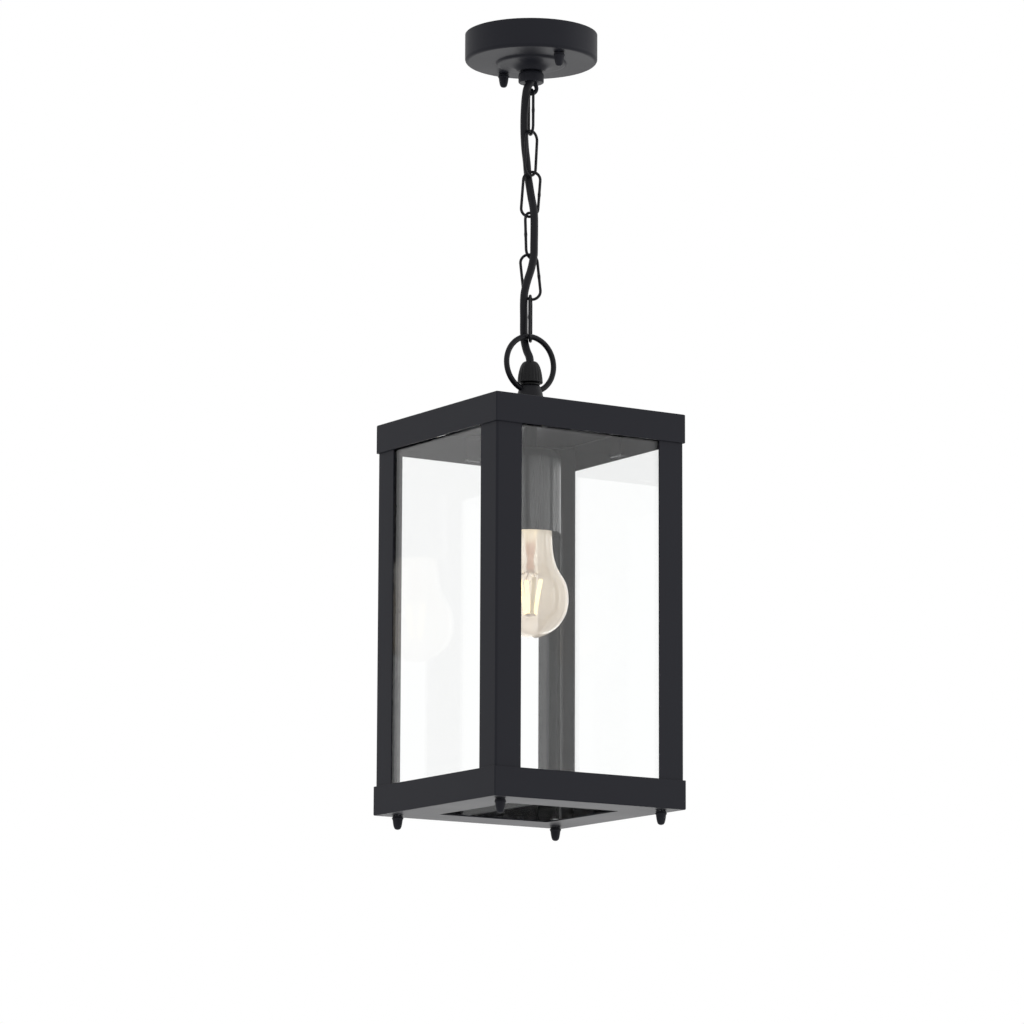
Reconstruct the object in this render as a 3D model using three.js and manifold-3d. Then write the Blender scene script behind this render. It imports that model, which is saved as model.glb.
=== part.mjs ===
// A hanging lantern: a square sheet-metal frame glazed on four sides, hung by a
// short chain from a round ceiling canopy, with a flex woven down through the chain
// to a bulb. Millimetres, +Z up. The origin is the middle of the face that is
// fixed to the ceiling, so the whole object lies below Z = 0.
import * as THREE from 'three';
import { mergeVertices } from 'three/addons/utils/BufferGeometryUtils.js';
import Module from 'manifold-3d';

const wasm = await Module();
wasm.setup();

// ---- Driving dimensions -------------------------------------------------
const DROP = 302; // ceiling face down to the top of the lantern's cap
const GAP = 0.3; // running and laying clearance between neighbours

const SIDE = 170; // outer side of the square cap and tray
const BODY_HEIGHT = 300; // cap top to tray underside
const SHEET = 1; // cap and tray sheet
const CAP_SKIRT = 22;
const TRAY_SKIRT = 22;
const TRAY_OPENING = 97; // square hole in the tray's floor, for changing the bulb
const POST_LEG = 22; // width of each leg of the corner angle
const POST_SHEET = 1.2;
const GLASS = 3;
const CLIP_WIDTH = 12;
const CLIP_SHEET = 0.8;
const CLIP_SETBACK = 1.5; // a glass clip's lower end above the cap skirt's edge
const PANE_HEADROOM = 2; // left over a pane, so that it lifts out of its feet
const SCREW_INSET = 13.6; // foot screw's axis in from the tray's outer faces
const SCREW_R = 1.9;
const SCREW_HOLE_R = 2.3;
const SCREW_HEAD_R = 3.6; // across the corners of its hexagon
const SCREW_HEAD_HEIGHT = 3;
const SCREW_GRIP = 7; // length of screw inside its cap nut
const CAP_NUT_R = 4.4;
const CAP_NUT_HEIGHT = 11;

const FLEX_R = 3;
const THREAD_R = 5; // threaded tubes and stubs
const THREAD_BORE_R = 3.6;
const STUB_R = 5.2; // the chain loop's threaded stub
const NUT_CORNERS = 17; // across the corners of the hexagon nuts
const TUBE_NUT_HEIGHT = 5;
const HOLDER_NUT_HEIGHT = 4;
const LOOP_NUT_HEIGHT = 4.8;

const RING_WIRE_R = 2.15;
const RING_R = 21.35; // centre line of the hanging ring's wire
const RING_HEIGHT = 43.5; // ring centre above the cap
const CONE_HEIGHT = 26.4; // the ring's cone-shaped foot
const CONE_TOP_R = 7.6;
const CONE_FOOT_R = 15;
const SEAL_R = 5.4;
const SEAL_HEIGHT = 9;
const GLAND_BASE = CONE_HEIGHT + GAP;
const GLAND_NUT_BASE = 28.4;
const GLAND_TOP = 45.2;
const GLAND_NUT_R = 9.7;

const LINK_WIRE_R = 1.1;
const LINK_LENGTH = 37.45;
const LINK_WIDTH = 15.2;
const LINK_COUNT = 6;

const CANOPY_R = 51;
const CANOPY_DEPTH = 22;
const CANOPY_BOSS_DEPTH = 29; // where the cover's centre reaches down to
const CANOPY_SHEET = 1.2;
const STUD_SPACING = 78; // between the canopy's two fixing studs
const COLLAR_R = 9.8;
const COLLAR_DEPTH = 38; // underside of the loop's collar
const EYE_WIRE_R = 1.6;
const EYE_R = 4.3;
const EYE_DROP = 3.9; // eye's centre below the collar
const LOOP_NUT_TOP = -22.6;
const STUB_TOP = -18;
const BRACKET_LENGTH = 92;
const BRACKET_WIDTH = 20;
const BRACKET_SHEET = 2;
const SLOT_LENGTH = 10; // ceiling screw slots
const SLOT_WIDTH = 5;
const SLOT_SPACING = 40;
const TERMINAL_LENGTH = 14; // two-pole terminal block
const TERMINAL_WIDTH = 18;
const TERMINAL_LOW = -15;
const TERMINAL_TOP = -4;

const SLEEVE_R = 23;
const SLEEVE_TOP = -24; // heights below are measured from the cap's top
const SLEEVE_BOTTOM = -88;
const SHOULDER_R = 8;
const BULB_R = 29;
const BULB_WIDEST = -138.6;
const BULB_CONTACT = -58; // the very top of the bulb's screw cap
const BULB_CAP_END = -80;
const BULB_WALL = 0.8;
const BULB_NECK_R = 12.7;
const STEM_END = -116;
const STICK_R = 1.3; // filament sticks, which lean together downwards
const STICK_TOP = -122.2;
const STICK_END = -149.9;
const STICK_TOP_OUT = 8.6; // distance of a stick's two ends from the bulb's axis
const STICK_END_OUT = 3.4;
const LEAD_R = 0.4;
const HUB_R = 3.4; // the glass bead that the leads are sealed in
const FILAMENT_TURN = 20; // degrees, from the weave's ACROSS direction

// ---- Directions ----------------------------------------------------------
// The chain's weave is laid out on two horizontal directions, ACROSS and TOWARD,
// turned from the lantern's own X and Y so that it reads well from one corner.
const WEAVE_TURN = THREE.MathUtils.degToRad(-33.2);
const turned = (across, toward, z) => new THREE.Vector3(
  across * Math.cos(WEAVE_TURN) + toward * Math.sin(WEAVE_TURN),
  across * Math.sin(WEAVE_TURN) - toward * Math.cos(WEAVE_TURN),
  z,
);
// Angle from ACROSS towards TOWARD of each link's flat side, lowest link first,
// and how far each link leans in its own plane.
const LINK_FACING = [95, 0, 125, 0, 130, 75];
const LINK_LEAN = [0, -6, 3, 4, -4, 0];
const EYE_FACING = -15;

// ---- Finishes --------------------------------------------------------------
const finish = (color, roughness, metalness) => () => new THREE.MeshStandardMaterial({ color, roughness, metalness });
const blackCoat = finish(0x303137, 0.62, 0.2);
const blackWire = finish(0x26262b, 0.5, 0.4);
const blackPlastic = finish(0x1c1c20, 0.45, 0);
const flexJacket = finish(0x1a1a1f, 0.55, 0);
const zincPlate = finish(0xb9bcc0, 0.35, 0.9);
const porcelain = finish(0xe9e6df, 0.3, 0);
const brassScrew = finish(0xc9b27a, 0.35, 0.9);
const filamentYellow = finish(0xffe9a8, 0.5, 0);
const whitePlastic = finish(0xe8e8e4, 0.45, 0);
const clearGlass = () => new THREE.MeshStandardMaterial({
  color: 0xdfe6e6, roughness: 0.05, metalness: 0, transparent: true, opacity: 0.3,
});

// ---- Solids ------------------------------------------------------------------
// Welds a closed geometry's shared corners, drops slivers and faces it outwards.
function weld(geometry) {
  const bare = geometry.clone();
  bare.deleteAttribute('normal');
  bare.deleteAttribute('uv');
  const merged = mergeVertices(bare, 1e-4);
  const source = merged.index.array;
  const kept = [];
  for (let i = 0; i < source.length; i += 3) {
    const [a, b, c] = [source[i], source[i + 1], source[i + 2]];
    if (a !== b && b !== c && c !== a) kept.push(a, b, c);
  }
  if (signedVolume(merged.attributes.position, kept) < 0) kept.reverse();
  merged.setIndex(kept);
  return merged;
}

function signedVolume(position, index) {
  const corner = (i) => new THREE.Vector3().fromBufferAttribute(position, index[i]);
  let six = 0;
  for (let i = 0; i < index.length; i += 3) six += corner(i).dot(corner(i + 1).cross(corner(i + 2)));
  return six / 6;
}

function toSolid(geometry) {
  const welded = weld(geometry);
  return new wasm.Manifold(new wasm.Mesh({
    numProp: 3,
    vertProperties: new Float32Array(welded.attributes.position.array),
    triVerts: new Uint32Array(welded.index.array),
  }));
}

function toGeometry(solid) {
  const mesh = solid.getMesh();
  const geometry = new THREE.BufferGeometry();
  geometry.setAttribute('position', new THREE.BufferAttribute(mesh.vertProperties, 3));
  geometry.setIndex(new THREE.BufferAttribute(mesh.triVerts, 1));
  return geometry;
}

const join = (first, ...rest) => toGeometry(rest.reduce((sum, g) => sum.add(toSolid(g)), toSolid(first)));
const cut = (first, ...rest) => toGeometry(rest.reduce((sum, g) => sum.subtract(toSolid(g)), toSolid(first)));

// A box between two opposite corners.
function block([x0, y0, z0], [x1, y1, z1]) {
  return new THREE.BoxGeometry(x1 - x0, y1 - y0, z1 - z0)
    .translate((x0 + x1) / 2, (y0 + y1) / 2, (z0 + z1) / 2);
}

// A square plate or block on the Z axis, from z0 up to z1.
const squareBlock = (side, z0, z1) => block([-side / 2, -side / 2, z0], [side / 2, side / 2, z1]);

// A round bar on the Z axis.
function rod(radius, z0, z1, sides = 24) {
  return new THREE.CylinderGeometry(radius, radius, z1 - z0, sides)
    .rotateX(Math.PI / 2).translate(0, 0, (z0 + z1) / 2);
}

// A round bar between two points.
function bar(from, to, radius, sides = 8) {
  const along = to.clone().sub(from);
  const turn = new THREE.Quaternion().setFromUnitVectors(new THREE.Vector3(0, 1, 0), along.clone().normalize());
  return new THREE.CylinderGeometry(radius, radius, along.length(), sides)
    .applyQuaternion(turn).translate(...from.clone().add(to).multiplyScalar(0.5).toArray());
}

// Turns an outline of [radius, height] points about Z. An outline that doesn't
// start and end on the axis is closed on itself.
function turn(outline, sides = 32) {
  const points = outline.map(([r, z]) => new THREE.Vector2(r, z));
  const [first, last] = [points[0], points[points.length - 1]];
  if (first.x > 0 || last.x > 0) points.push(first.clone());
  return weld(new THREE.LatheGeometry(points, sides).rotateX(Math.PI / 2));
}

const tube = (outer, inner, z0, z1, sides = 24) => turn([[inner, z0], [outer, z0], [outer, z1], [inner, z1]], sides);

// A hexagonal nut with a round hole.
function hexNut(acrossCorners, bore, z0, z1) {
  return cut(rod(acrossCorners / 2, z0, z1, 6), rod(bore, z0 - 1, z1 + 1, 16));
}

// ---- Scene -----------------------------------------------------------------
const lantern = new THREE.Group();
lantern.position.z = -DROP;
const canopy = new THREE.Group();
const root = new THREE.Group();
root.add(canopy, lantern);

function add(group, name, geometry, material, place = [0, 0, 0], turnZ = 0) {
  const mesh = new THREE.Mesh(weld(geometry), material());
  mesh.name = name;
  mesh.position.set(...place);
  mesh.rotation.z = turnZ;
  group.add(mesh);
  return mesh;
}

const QUARTERS = [
  ['front_left', -1, -1],
  ['front_right', 1, -1],
  ['back_right', 1, 1],
  ['back_left', -1, 1],
];
const SIDES = [['front', 0], ['right', 1], ['back', 2], ['left', 3]];

// ---- The lantern's frame -----------------------------------------------------
const HALF = SIDE / 2;
const POST_OUT = HALF - SHEET - GAP; // outer faces of the corner angles
const GLASS_OUT = POST_OUT - POST_SHEET - GAP;
const GLASS_IN = GLASS_OUT - GLASS;
const TRAY_FLOOR = -BODY_HEIGHT + SHEET;
const FOOT_TOP = TRAY_FLOOR + GAP + POST_SHEET;
const CAP_UNDER = -SHEET;
const SCREW_AT = HALF - SCREW_INSET;

function topCap() {
  return cut(
    squareBlock(SIDE, -CAP_SKIRT, 0),
    squareBlock(SIDE - 2 * SHEET, -CAP_SKIRT - 1, CAP_UNDER),
    rod(THREAD_R + GAP, -SHEET - 1, 1),
  );
}

function bottomTray() {
  const holes = QUARTERS.map(([, sx, sy]) => rod(SCREW_HOLE_R, -BODY_HEIGHT - 1, TRAY_FLOOR + 1, 12)
    .translate(sx * SCREW_AT, sy * SCREW_AT, 0));
  return cut(
    squareBlock(SIDE, -BODY_HEIGHT, -BODY_HEIGHT + TRAY_SKIRT),
    squareBlock(SIDE - 2 * SHEET, TRAY_FLOOR, -BODY_HEIGHT + TRAY_SKIRT + 1),
    squareBlock(TRAY_OPENING, -BODY_HEIGHT - 1, TRAY_FLOOR + 1),
    ...holes,
  );
}

// A corner angle with its corner towards -X -Y, and a foot tab for its screw.
function cornerPost() {
  const [out, leg, low, high] = [-POST_OUT, -POST_OUT + POST_LEG, TRAY_FLOOR + GAP, CAP_UNDER - GAP];
  return cut(
    join(
      block([out, out, low], [leg, out + POST_SHEET, high]),
      block([out, out, low], [out + POST_SHEET, leg, high]),
      block([out, out, low], [leg, leg, FOOT_TOP]),
    ),
    rod(SCREW_HOLE_R, low - 1, FOOT_TOP + 1, 12).translate(-SCREW_AT, -SCREW_AT, 0),
  );
}

function footScrew() {
  const shank = rod(SCREW_R, -BODY_HEIGHT - SCREW_GRIP, FOOT_TOP + GAP + 1, 12);
  const head = rod(SCREW_HEAD_R, FOOT_TOP + GAP, FOOT_TOP + GAP + SCREW_HEAD_HEIGHT, 6);
  return join(shank, head);
}

// A domed cap nut hanging from the surface at Z = 0, with a blind hole for its screw.
function capNut() {
  const hole = SCREW_R + GAP;
  const depth = CAP_NUT_HEIGHT;
  return turn([
    [0, -8], [hole, -8], [hole, -GAP], [CAP_NUT_R, -GAP], [CAP_NUT_R, -1.6],
    [3.7, -2.4], [3.1, -8.4], [1.5, -depth + 0.4], [0, -depth],
  ], 12);
}

// One pane, on the lantern's -Y side, standing on the feet of the two posts.
function glassPane() {
  const reach = GLASS_IN - GAP;
  return block([-reach, -GLASS_OUT, FOOT_TOP + GAP], [reach, -GLASS_IN, CAP_UNDER - PANE_HEADROOM]);
}

// A bent clip under the cap that holds a pane's top edge, on the -Y side.
function glassClip() {
  const [face, half, top] = [-GLASS_IN + GAP, CLIP_WIDTH / 2, CAP_UNDER - GAP];
  return join(
    block([-half, face, -CAP_SKIRT + CLIP_SETBACK], [half, face + CLIP_SHEET, top]),
    block([-half, face, top - CLIP_SHEET], [half, face + CLIP_WIDTH, top]),
  );
}

add(lantern, 'top_cap', topCap(), blackCoat);
add(lantern, 'bottom_tray', bottomTray(), blackCoat);
QUARTERS.forEach(([corner, sx, sy], i) => {
  const at = [sx * SCREW_AT, sy * SCREW_AT, 0];
  add(lantern, `corner_post_${corner}`, cornerPost(), blackCoat, [0, 0, 0], (i * Math.PI) / 2);
  add(lantern, `foot_screw_${corner}`, footScrew(), zincPlate, at);
  add(lantern, `cap_nut_${corner}`, capNut(), blackCoat, [at[0], at[1], -BODY_HEIGHT]);
});
SIDES.forEach(([side, quarter]) => {
  add(lantern, `glass_pane_${side}`, glassPane(), clearGlass, [0, 0, 0], (quarter * Math.PI) / 2);
  add(lantern, `glass_clip_${side}`, glassClip(), zincPlate, [0, 0, 0], (quarter * Math.PI) / 2);
});

// ---- Ring, gland and the threaded tube through the cap --------------------------
const TUBE_END = -31;
const TUBE_TOP = 25;

function hangingRing() {
  const ring = new THREE.TorusGeometry(RING_R, RING_WIRE_R, 8, 32)
    .rotateX(Math.PI / 2).translate(0, 0, RING_HEIGHT);
  // The ring's wire runs through the cone's neck, just under the gland.
  const cone = turn([
    [0, GAP], [CONE_FOOT_R, GAP], [CONE_FOOT_R, 2], [12.6, 9], [9.6, CONE_HEIGHT - 6], [CONE_TOP_R, CONE_HEIGHT], [0, CONE_HEIGHT],
  ], 20);
  return cut(join(cone, ring), rod(THREAD_R + GAP, -1, CONE_HEIGHT + 1, 16));
}

const glandBody = () => turn([
  [FLEX_R + GAP, GLAND_BASE], [CONE_TOP_R - 0.2, GLAND_BASE], [CONE_TOP_R - 0.2, GLAND_NUT_BASE - GAP],
  [FLEX_R + GAP, GLAND_NUT_BASE - GAP],
], 16);

const glandSeal = () => tube(SEAL_R, FLEX_R + GAP, GLAND_NUT_BASE + 1, GLAND_NUT_BASE + 1 + SEAL_HEIGHT, 16);

const glandNut = () => turn([
  [FLEX_R + 0.5, GLAND_TOP], [5.2, GLAND_TOP - 0.6], [7.6, GLAND_TOP - 4.4], [9.1, GLAND_TOP - 9],
  [GLAND_NUT_R, GLAND_NUT_BASE + 2], [GLAND_NUT_R, GLAND_NUT_BASE],
  [5.8, GLAND_NUT_BASE], [5.8, GLAND_NUT_BASE + 12], [FLEX_R + 0.5, GLAND_NUT_BASE + 14],
], 20);

add(lantern, 'hanging_ring', hangingRing(), blackCoat);
add(lantern, 'gland_body', glandBody(), blackPlastic);
add(lantern, 'gland_seal', glandSeal(), blackPlastic);
add(lantern, 'gland_nut', glandNut(), blackPlastic);
add(lantern, 'threaded_tube', tube(THREAD_R, THREAD_BORE_R, TUBE_END, TUBE_TOP, 16), zincPlate);
add(lantern, 'threaded_tube_nut', hexNut(NUT_CORNERS, THREAD_R + GAP, CAP_UNDER - GAP - TUBE_NUT_HEIGHT, CAP_UNDER - GAP), zincPlate);

// ---- Lampholder and bulb ---------------------------------------------------------
const INSERT_TOP = -34;
const INSERT_R = SLEEVE_R - SHEET - 0.4;
const SOCKET_R = 14.3;

// The sleeve's rounded shoulder at one face of its sheet, from the top outwards.
function sleeveShoulder(radius, steps = 4) {
  const points = [];
  for (let i = 0; i <= steps; i += 1) {
    const a = (1 - i / steps) * (Math.PI / 2);
    points.push([
      SLEEVE_R - SHOULDER_R + radius * Math.cos(a),
      SLEEVE_TOP - SHOULDER_R + radius * Math.sin(a),
    ]);
  }
  return points;
}

// The metal sleeve, a cup with a rounded shoulder, open downwards.
const holderSleeve = () => turn([
  [THREAD_R + GAP, SLEEVE_TOP], ...sleeveShoulder(SHOULDER_R),
  [SLEEVE_R, SLEEVE_BOTTOM], [SLEEVE_R - SHEET, SLEEVE_BOTTOM],
  ...sleeveShoulder(SHOULDER_R - SHEET).reverse(), [THREAD_R + GAP, SLEEVE_TOP - SHEET],
], 28);

const holderInsert = () => turn([
  [FLEX_R + 0.6, INSERT_TOP], [INSERT_R - 3, INSERT_TOP], [INSERT_R, INSERT_TOP - 3], [INSERT_R, BULB_CAP_END + GAP],
  [SOCKET_R, BULB_CAP_END + GAP], [SOCKET_R, BULB_CONTACT + 0.6], [0, BULB_CONTACT + 0.6],
  [0, INSERT_TOP - 14], [FLEX_R + 0.6, INSERT_TOP - 14],
], 24);

const screwShell = () => tube(SOCKET_R - GAP, SOCKET_R - 0.8, BULB_CAP_END + 1, BULB_CONTACT - 3, 20);

// The bulb's screw cap: a contact, an insulating ring and a ribbed shell.
function bulbCap() {
  const [shell, inner] = [12.9, 11.9];
  const ribs = [];
  const pitch = 4.5;
  for (let z = BULB_CONTACT - 6; z > BULB_CAP_END + 3; z -= pitch) {
    ribs.push([shell, z], [shell - 0.8, z - pitch / 2]);
  }
  return turn([
    [0, BULB_CONTACT], [3.5, BULB_CONTACT], [5, BULB_CONTACT - 1.2], [9.5, BULB_CONTACT - 3.4],
    ...ribs, [shell, BULB_CAP_END + 2], [shell, BULB_CAP_END],
    [inner, BULB_CAP_END], [inner, BULB_CONTACT - 6], [0, BULB_CONTACT - 6],
  ], 20);
}

// The bulb's outline from the neck's shoulder round to the tip, as [radius, height].
function bulbOutline(inset) {
  const r = BULB_R - inset;
  const side = new THREE.CubicBezierCurve(
    new THREE.Vector2(16.4 - inset, -86),
    new THREE.Vector2(16 - inset, -125),
    new THREE.Vector2(r, -115),
    new THREE.Vector2(r, BULB_WIDEST),
  );
  const points = side.getPoints(8).map((p) => [p.x, p.y]);
  const steps = 5;
  for (let i = 1; i <= steps; i += 1) {
    const a = (i / steps) * (Math.PI / 2);
    points.push([i === steps ? 0 : r * Math.cos(a), BULB_WIDEST - r * Math.sin(a)]);
  }
  return points;
}

function bulbGlass() {
  return turn([
    [BULB_NECK_R - BULB_WALL, BULB_CAP_END - GAP], [BULB_NECK_R, BULB_CAP_END - GAP],
    ...bulbOutline(0), ...bulbOutline(BULB_WALL).reverse(),
  ], 24);
}

const bulbStem = () => turn([
  [0, BULB_CAP_END + 3], [3.2, BULB_CAP_END + 3], [9.5, BULB_CAP_END - 1.2], [8.6, BULB_CAP_END - 3], [4, BULB_CAP_END - 12],
  [2.4, STEM_END + 6], [3.5, STEM_END + 2.6], [3, STEM_END + 0.6], [0, STEM_END],
], 16);

// Four filament sticks leaning together downwards, on one wire frame.
function filamentFrame() {
  const hub = STEM_END - GAP - 0.5;
  const hoop = new THREE.TorusGeometry(STICK_END_OUT, 0.55, 5, 12).translate(0, 0, STICK_END);
  const pieces = [hoop, rod(HUB_R, hub - 1.6, hub, 12)];
  for (let i = 0; i < 4; i += 1) {
    const a = WEAVE_TURN + THREE.MathUtils.degToRad(FILAMENT_TURN + 90 * i);
    const at = (r, z) => new THREE.Vector3(r * Math.cos(a), r * Math.sin(a), z);
    const stick = bar(at(STICK_TOP_OUT, STICK_TOP), at(STICK_END_OUT, STICK_END), STICK_R, 6);
    const lead = bar(at(0.8, hub - 0.8), at(STICK_TOP_OUT, STICK_TOP - 0.2), LEAD_R, 5);
    pieces.push(stick, lead);
  }
  return join(...pieces);
}

add(lantern, 'holder_sleeve', holderSleeve(), blackCoat);
add(lantern, 'holder_insert', holderInsert(), porcelain);
const HOLDER_NUT_TOP = SLEEVE_TOP - SHEET - GAP;
add(lantern, 'holder_nut', hexNut(NUT_CORNERS, THREAD_R + GAP, HOLDER_NUT_TOP - HOLDER_NUT_HEIGHT, HOLDER_NUT_TOP), zincPlate);
add(lantern, 'holder_screw_shell', screwShell(), brassScrew);
add(lantern, 'bulb_cap', bulbCap(), brassScrew);
add(lantern, 'bulb_glass', bulbGlass(), clearGlass);
add(lantern, 'bulb_stem', bulbStem(), clearGlass);
add(lantern, 'bulb_filament', filamentFrame(), filamentYellow);

// ---- Chain --------------------------------------------------------------------
const LINK_REACH = LINK_LENGTH - 2 * LINK_WIRE_R; // between the wire centres of a link's two ends
const LINK_NEST = 2 * LINK_WIRE_R + 2 * GAP; // how far one link's end sits inside the next
const RING_TOP_WIRE = RING_HEIGHT + RING_R;
const FIRST_LINK_LOW = RING_TOP_WIRE - RING_WIRE_R - LINK_WIRE_R - GAP;
const linkLow = (i) => FIRST_LINK_LOW + i * (LINK_REACH - LINK_NEST);

// A welded oval link in the XZ plane, centred on the origin.
function chainLink() {
  const bend = LINK_WIDTH / 2 - LINK_WIRE_R;
  const link = new THREE.TorusGeometry(bend, LINK_WIRE_R, 8, 16).rotateX(Math.PI / 2);
  const position = link.attributes.position;
  const stretch = LINK_REACH / 2 - bend;
  for (let i = 0; i < position.count; i += 1) {
    const z = position.getZ(i);
    const pull = Math.abs(z) < LINK_WIRE_R * 0.01 ? 0 : Math.sign(z);
    position.setZ(i, z + pull * stretch * Math.min(1, Math.abs(z) / LINK_WIRE_R));
  }
  return link;
}

for (let i = 0; i < LINK_COUNT; i += 1) {
  const link = add(lantern, `chain_link_${i + 1}`, chainLink(), blackWire);
  const facing = THREE.MathUtils.degToRad(LINK_FACING[i]);
  link.position.z = linkLow(i) + LINK_REACH / 2;
  link.rotation.order = 'ZYX';
  link.rotation.set(0, THREE.MathUtils.degToRad(LINK_LEAN[i]), WEAVE_TURN - facing);
}

// ---- Ceiling canopy --------------------------------------------------------------
const STUD_AT = STUD_SPACING / 2;
const COVER_HOLE_R = STUB_R + GAP;

function canopyCover() {
  const [r, d, boss, t] = [CANOPY_R, CANOPY_DEPTH, CANOPY_BOSS_DEPTH, CANOPY_SHEET];
  const shell = turn([
    [r, 0], [r, -d + 3], [r - 0.9, -d + 0.9], [r - 3, -d], [27.6, -d], [26.6, -d - 1.6], [22.4, -d - 2],
    [15, -d - 2.6], [11, -boss + 1.6], [COLLAR_R, -boss], [COVER_HOLE_R, -boss], [COVER_HOLE_R, -boss + t],
    [COLLAR_R - 0.8, -boss + t], [14.4, -d - 2.6 + t], [25.6, -d - 1.6 + t], [26.8, -d + t], [r - 3, -d + t],
    [r - t, -d + 3], [r - t, 0],
  ], 36);
  const hole = (y) => rod(SCREW_HOLE_R, -d - 1, -d + t + 1, 12).translate(0, y, 0);
  return cut(shell, hole(STUD_AT), hole(-STUD_AT));
}

// A flat bar across the canopy with two slots for ceiling screws.
function ceilingBracket() {
  const [wide, long, half] = [BRACKET_WIDTH / 2, BRACKET_LENGTH / 2, SLOT_SPACING / 2];
  const slot = (y) => block(
    [-SLOT_WIDTH / 2, y - SLOT_LENGTH / 2, -BRACKET_SHEET - 1],
    [SLOT_WIDTH / 2, y + SLOT_LENGTH / 2, 1],
  );
  return cut(block([-wide, -long, -BRACKET_SHEET], [wide, long, 0]), slot(half), slot(-half));
}

const bracketStud = () => join(
  rod(SCREW_R, -CANOPY_DEPTH - SCREW_GRIP, -BRACKET_SHEET - GAP, 12),
  rod(3.4, -BRACKET_SHEET - GAP - 2.4, -BRACKET_SHEET - GAP, 6),
);

const FLEX_OUT = turned(0, 5.3, -COLLAR_DEPTH); // where the flex leaves the collar

// The loop that the chain hangs on: a hollow threaded stub, a collar and an eye.
function canopyLoop() {
  const [top, low] = [-CANOPY_BOSS_DEPTH - GAP, -COLLAR_DEPTH];
  const collar = turn([
    [0, STUB_TOP], [STUB_R, STUB_TOP], [STUB_R, top], [7.6, top], [COLLAR_R, top - 1.6],
    [COLLAR_R, low + 0.8], [COLLAR_R - 0.8, low], [0, low],
  ], 20);
  const eye = new THREE.TorusGeometry(EYE_R, EYE_WIRE_R, 8, 16).rotateX(Math.PI / 2)
    .rotateZ(WEAVE_TURN - THREE.MathUtils.degToRad(EYE_FACING)).translate(0, 0, low - EYE_DROP);
  const start = new THREE.Vector3(0, 0, STUB_TOP - 8);
  const exit = FLEX_OUT.clone();
  const slope = exit.clone().sub(start).normalize();
  return cut(
    join(collar, eye),
    rod(FLEX_R + 0.6, start.z, STUB_TOP + 1, 16),
    bar(start.clone().addScaledVector(slope, -1.5), exit.addScaledVector(slope, 2), FLEX_R + 0.75, 16),
  );
}

// A two-pole terminal block with a wire hole in each end.
function terminalBlock() {
  const [wide, long] = [TERMINAL_WIDTH / 2, TERMINAL_LENGTH / 2];
  const [pole, half, past] = [4.8, 1.6, long + 1];
  const bore = (x) => block([x - half, -past, TERMINAL_LOW + 3], [x + half, past, TERMINAL_LOW + 3 + 2 * half]);
  const waist = block([-1, -past, TERMINAL_TOP - 5], [1, past, TERMINAL_TOP + 1]);
  return cut(block([-wide, -long, TERMINAL_LOW], [wide, long, TERMINAL_TOP]), bore(-pole), bore(pole), waist);
}

add(canopy, 'canopy_cover', canopyCover(), blackCoat);
add(canopy, 'ceiling_bracket', ceilingBracket(), zincPlate);
[['front', -STUD_AT], ['back', STUD_AT]].forEach(([side, y]) => {
  add(canopy, `canopy_stud_${side}`, bracketStud(), zincPlate, [0, y, 0]);
  add(canopy, `canopy_cap_nut_${side}`, capNut(), blackCoat, [0, y, -CANOPY_DEPTH]);
});
add(canopy, 'canopy_loop', canopyLoop(), blackCoat);
add(canopy, 'canopy_loop_nut', hexNut(NUT_CORNERS, COVER_HOLE_R, LOOP_NUT_TOP - LOOP_NUT_HEIGHT, LOOP_NUT_TOP), zincPlate);
add(canopy, 'terminal_block', terminalBlock(), whitePlastic);

// ---- Flex ---------------------------------------------------------------------
// The flex's route, from the terminal block down to the lampholder. Each entry is
// [across, toward, height above the cap]; it passes each pair of joined links in
// the widest quarter between them and goes through the links it meets face on.
const FLEX_START = 15.4; // below the ceiling, just under the terminal block
const FLEX_END = INSERT_TOP - 13;
const FLEX_ROUTE = [
  [0, 0, DROP - FLEX_START], [0, 0, DROP - 21], [0, 0.5, 275], [0, 2.8, 269.5], [-0.4, 5.3, 264], [-3.0, 6.2, 258.5],
  [-4.2, 4.9, 252], [-4.9, 2.2, 243], [-5.2, 0.2, 234], [-5.1, -1.0, 225], [-4.4, -2.9, 213], [-3.2, -4.4, 203],
  [-2.3, -5.1, 193], [-0.8, -2.8, 182.5], [0.6, 0.8, 173], [2.0, 3.9, 165], [2.7, 4.9, 158], [2.8, 4.9, 146],
  [2.7, 5.0, 136], [2.5, 5.1, 127], [0.6, 5.0, 117], [-2.4, 5.0, 107], [-4.5, 4.8, 98], [-5.0, 3.4, 90], [-4.9, 0.4, 79],
  [-4.9, -2.6, 70], [-4.5, -4.2, 63], [-2.8, -3.0, 55], [-0.6, -0.7, 49], [0, 0, 44], [0, 0, 30], [0, 0, 0],
  [0, 0, -30], [0, 0, FLEX_END],
];
const flexCurve = new THREE.CatmullRomCurve3(FLEX_ROUTE.map((p) => turned(...p)));
const FLEX_SAMPLES = 400;
const flexPoints = flexCurve.getPoints(FLEX_SAMPLES);

// The stretch of flex between two heights, as a curve of its own.
function flexStretch(high, low) {
  const points = flexPoints.filter((p) => p.z < high - 1.5 && p.z > low + 1.5);
  const at = (z) => {
    const next = flexPoints.findIndex((p) => p.z <= z);
    const [a, b] = [flexPoints[next - 1], flexPoints[next]];
    return a.clone().lerp(b, (a.z - z) / (a.z - b.z));
  };
  const thinned = points.filter((p, i) => i % 5 === 0);
  return new THREE.CatmullRomCurve3([at(high), ...thinned, at(low)]);
}

function flexTube(curve) {
  const section = new THREE.Shape();
  section.absarc(0, 0, FLEX_R, 0, 2 * Math.PI);
  const steps = Math.max(4, Math.round(curve.getLength() / (1.5 * FLEX_R)));
  return new THREE.ExtrudeGeometry(section, { steps, curveSegments: 4, bevelEnabled: false, extrudePath: curve });
}

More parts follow.
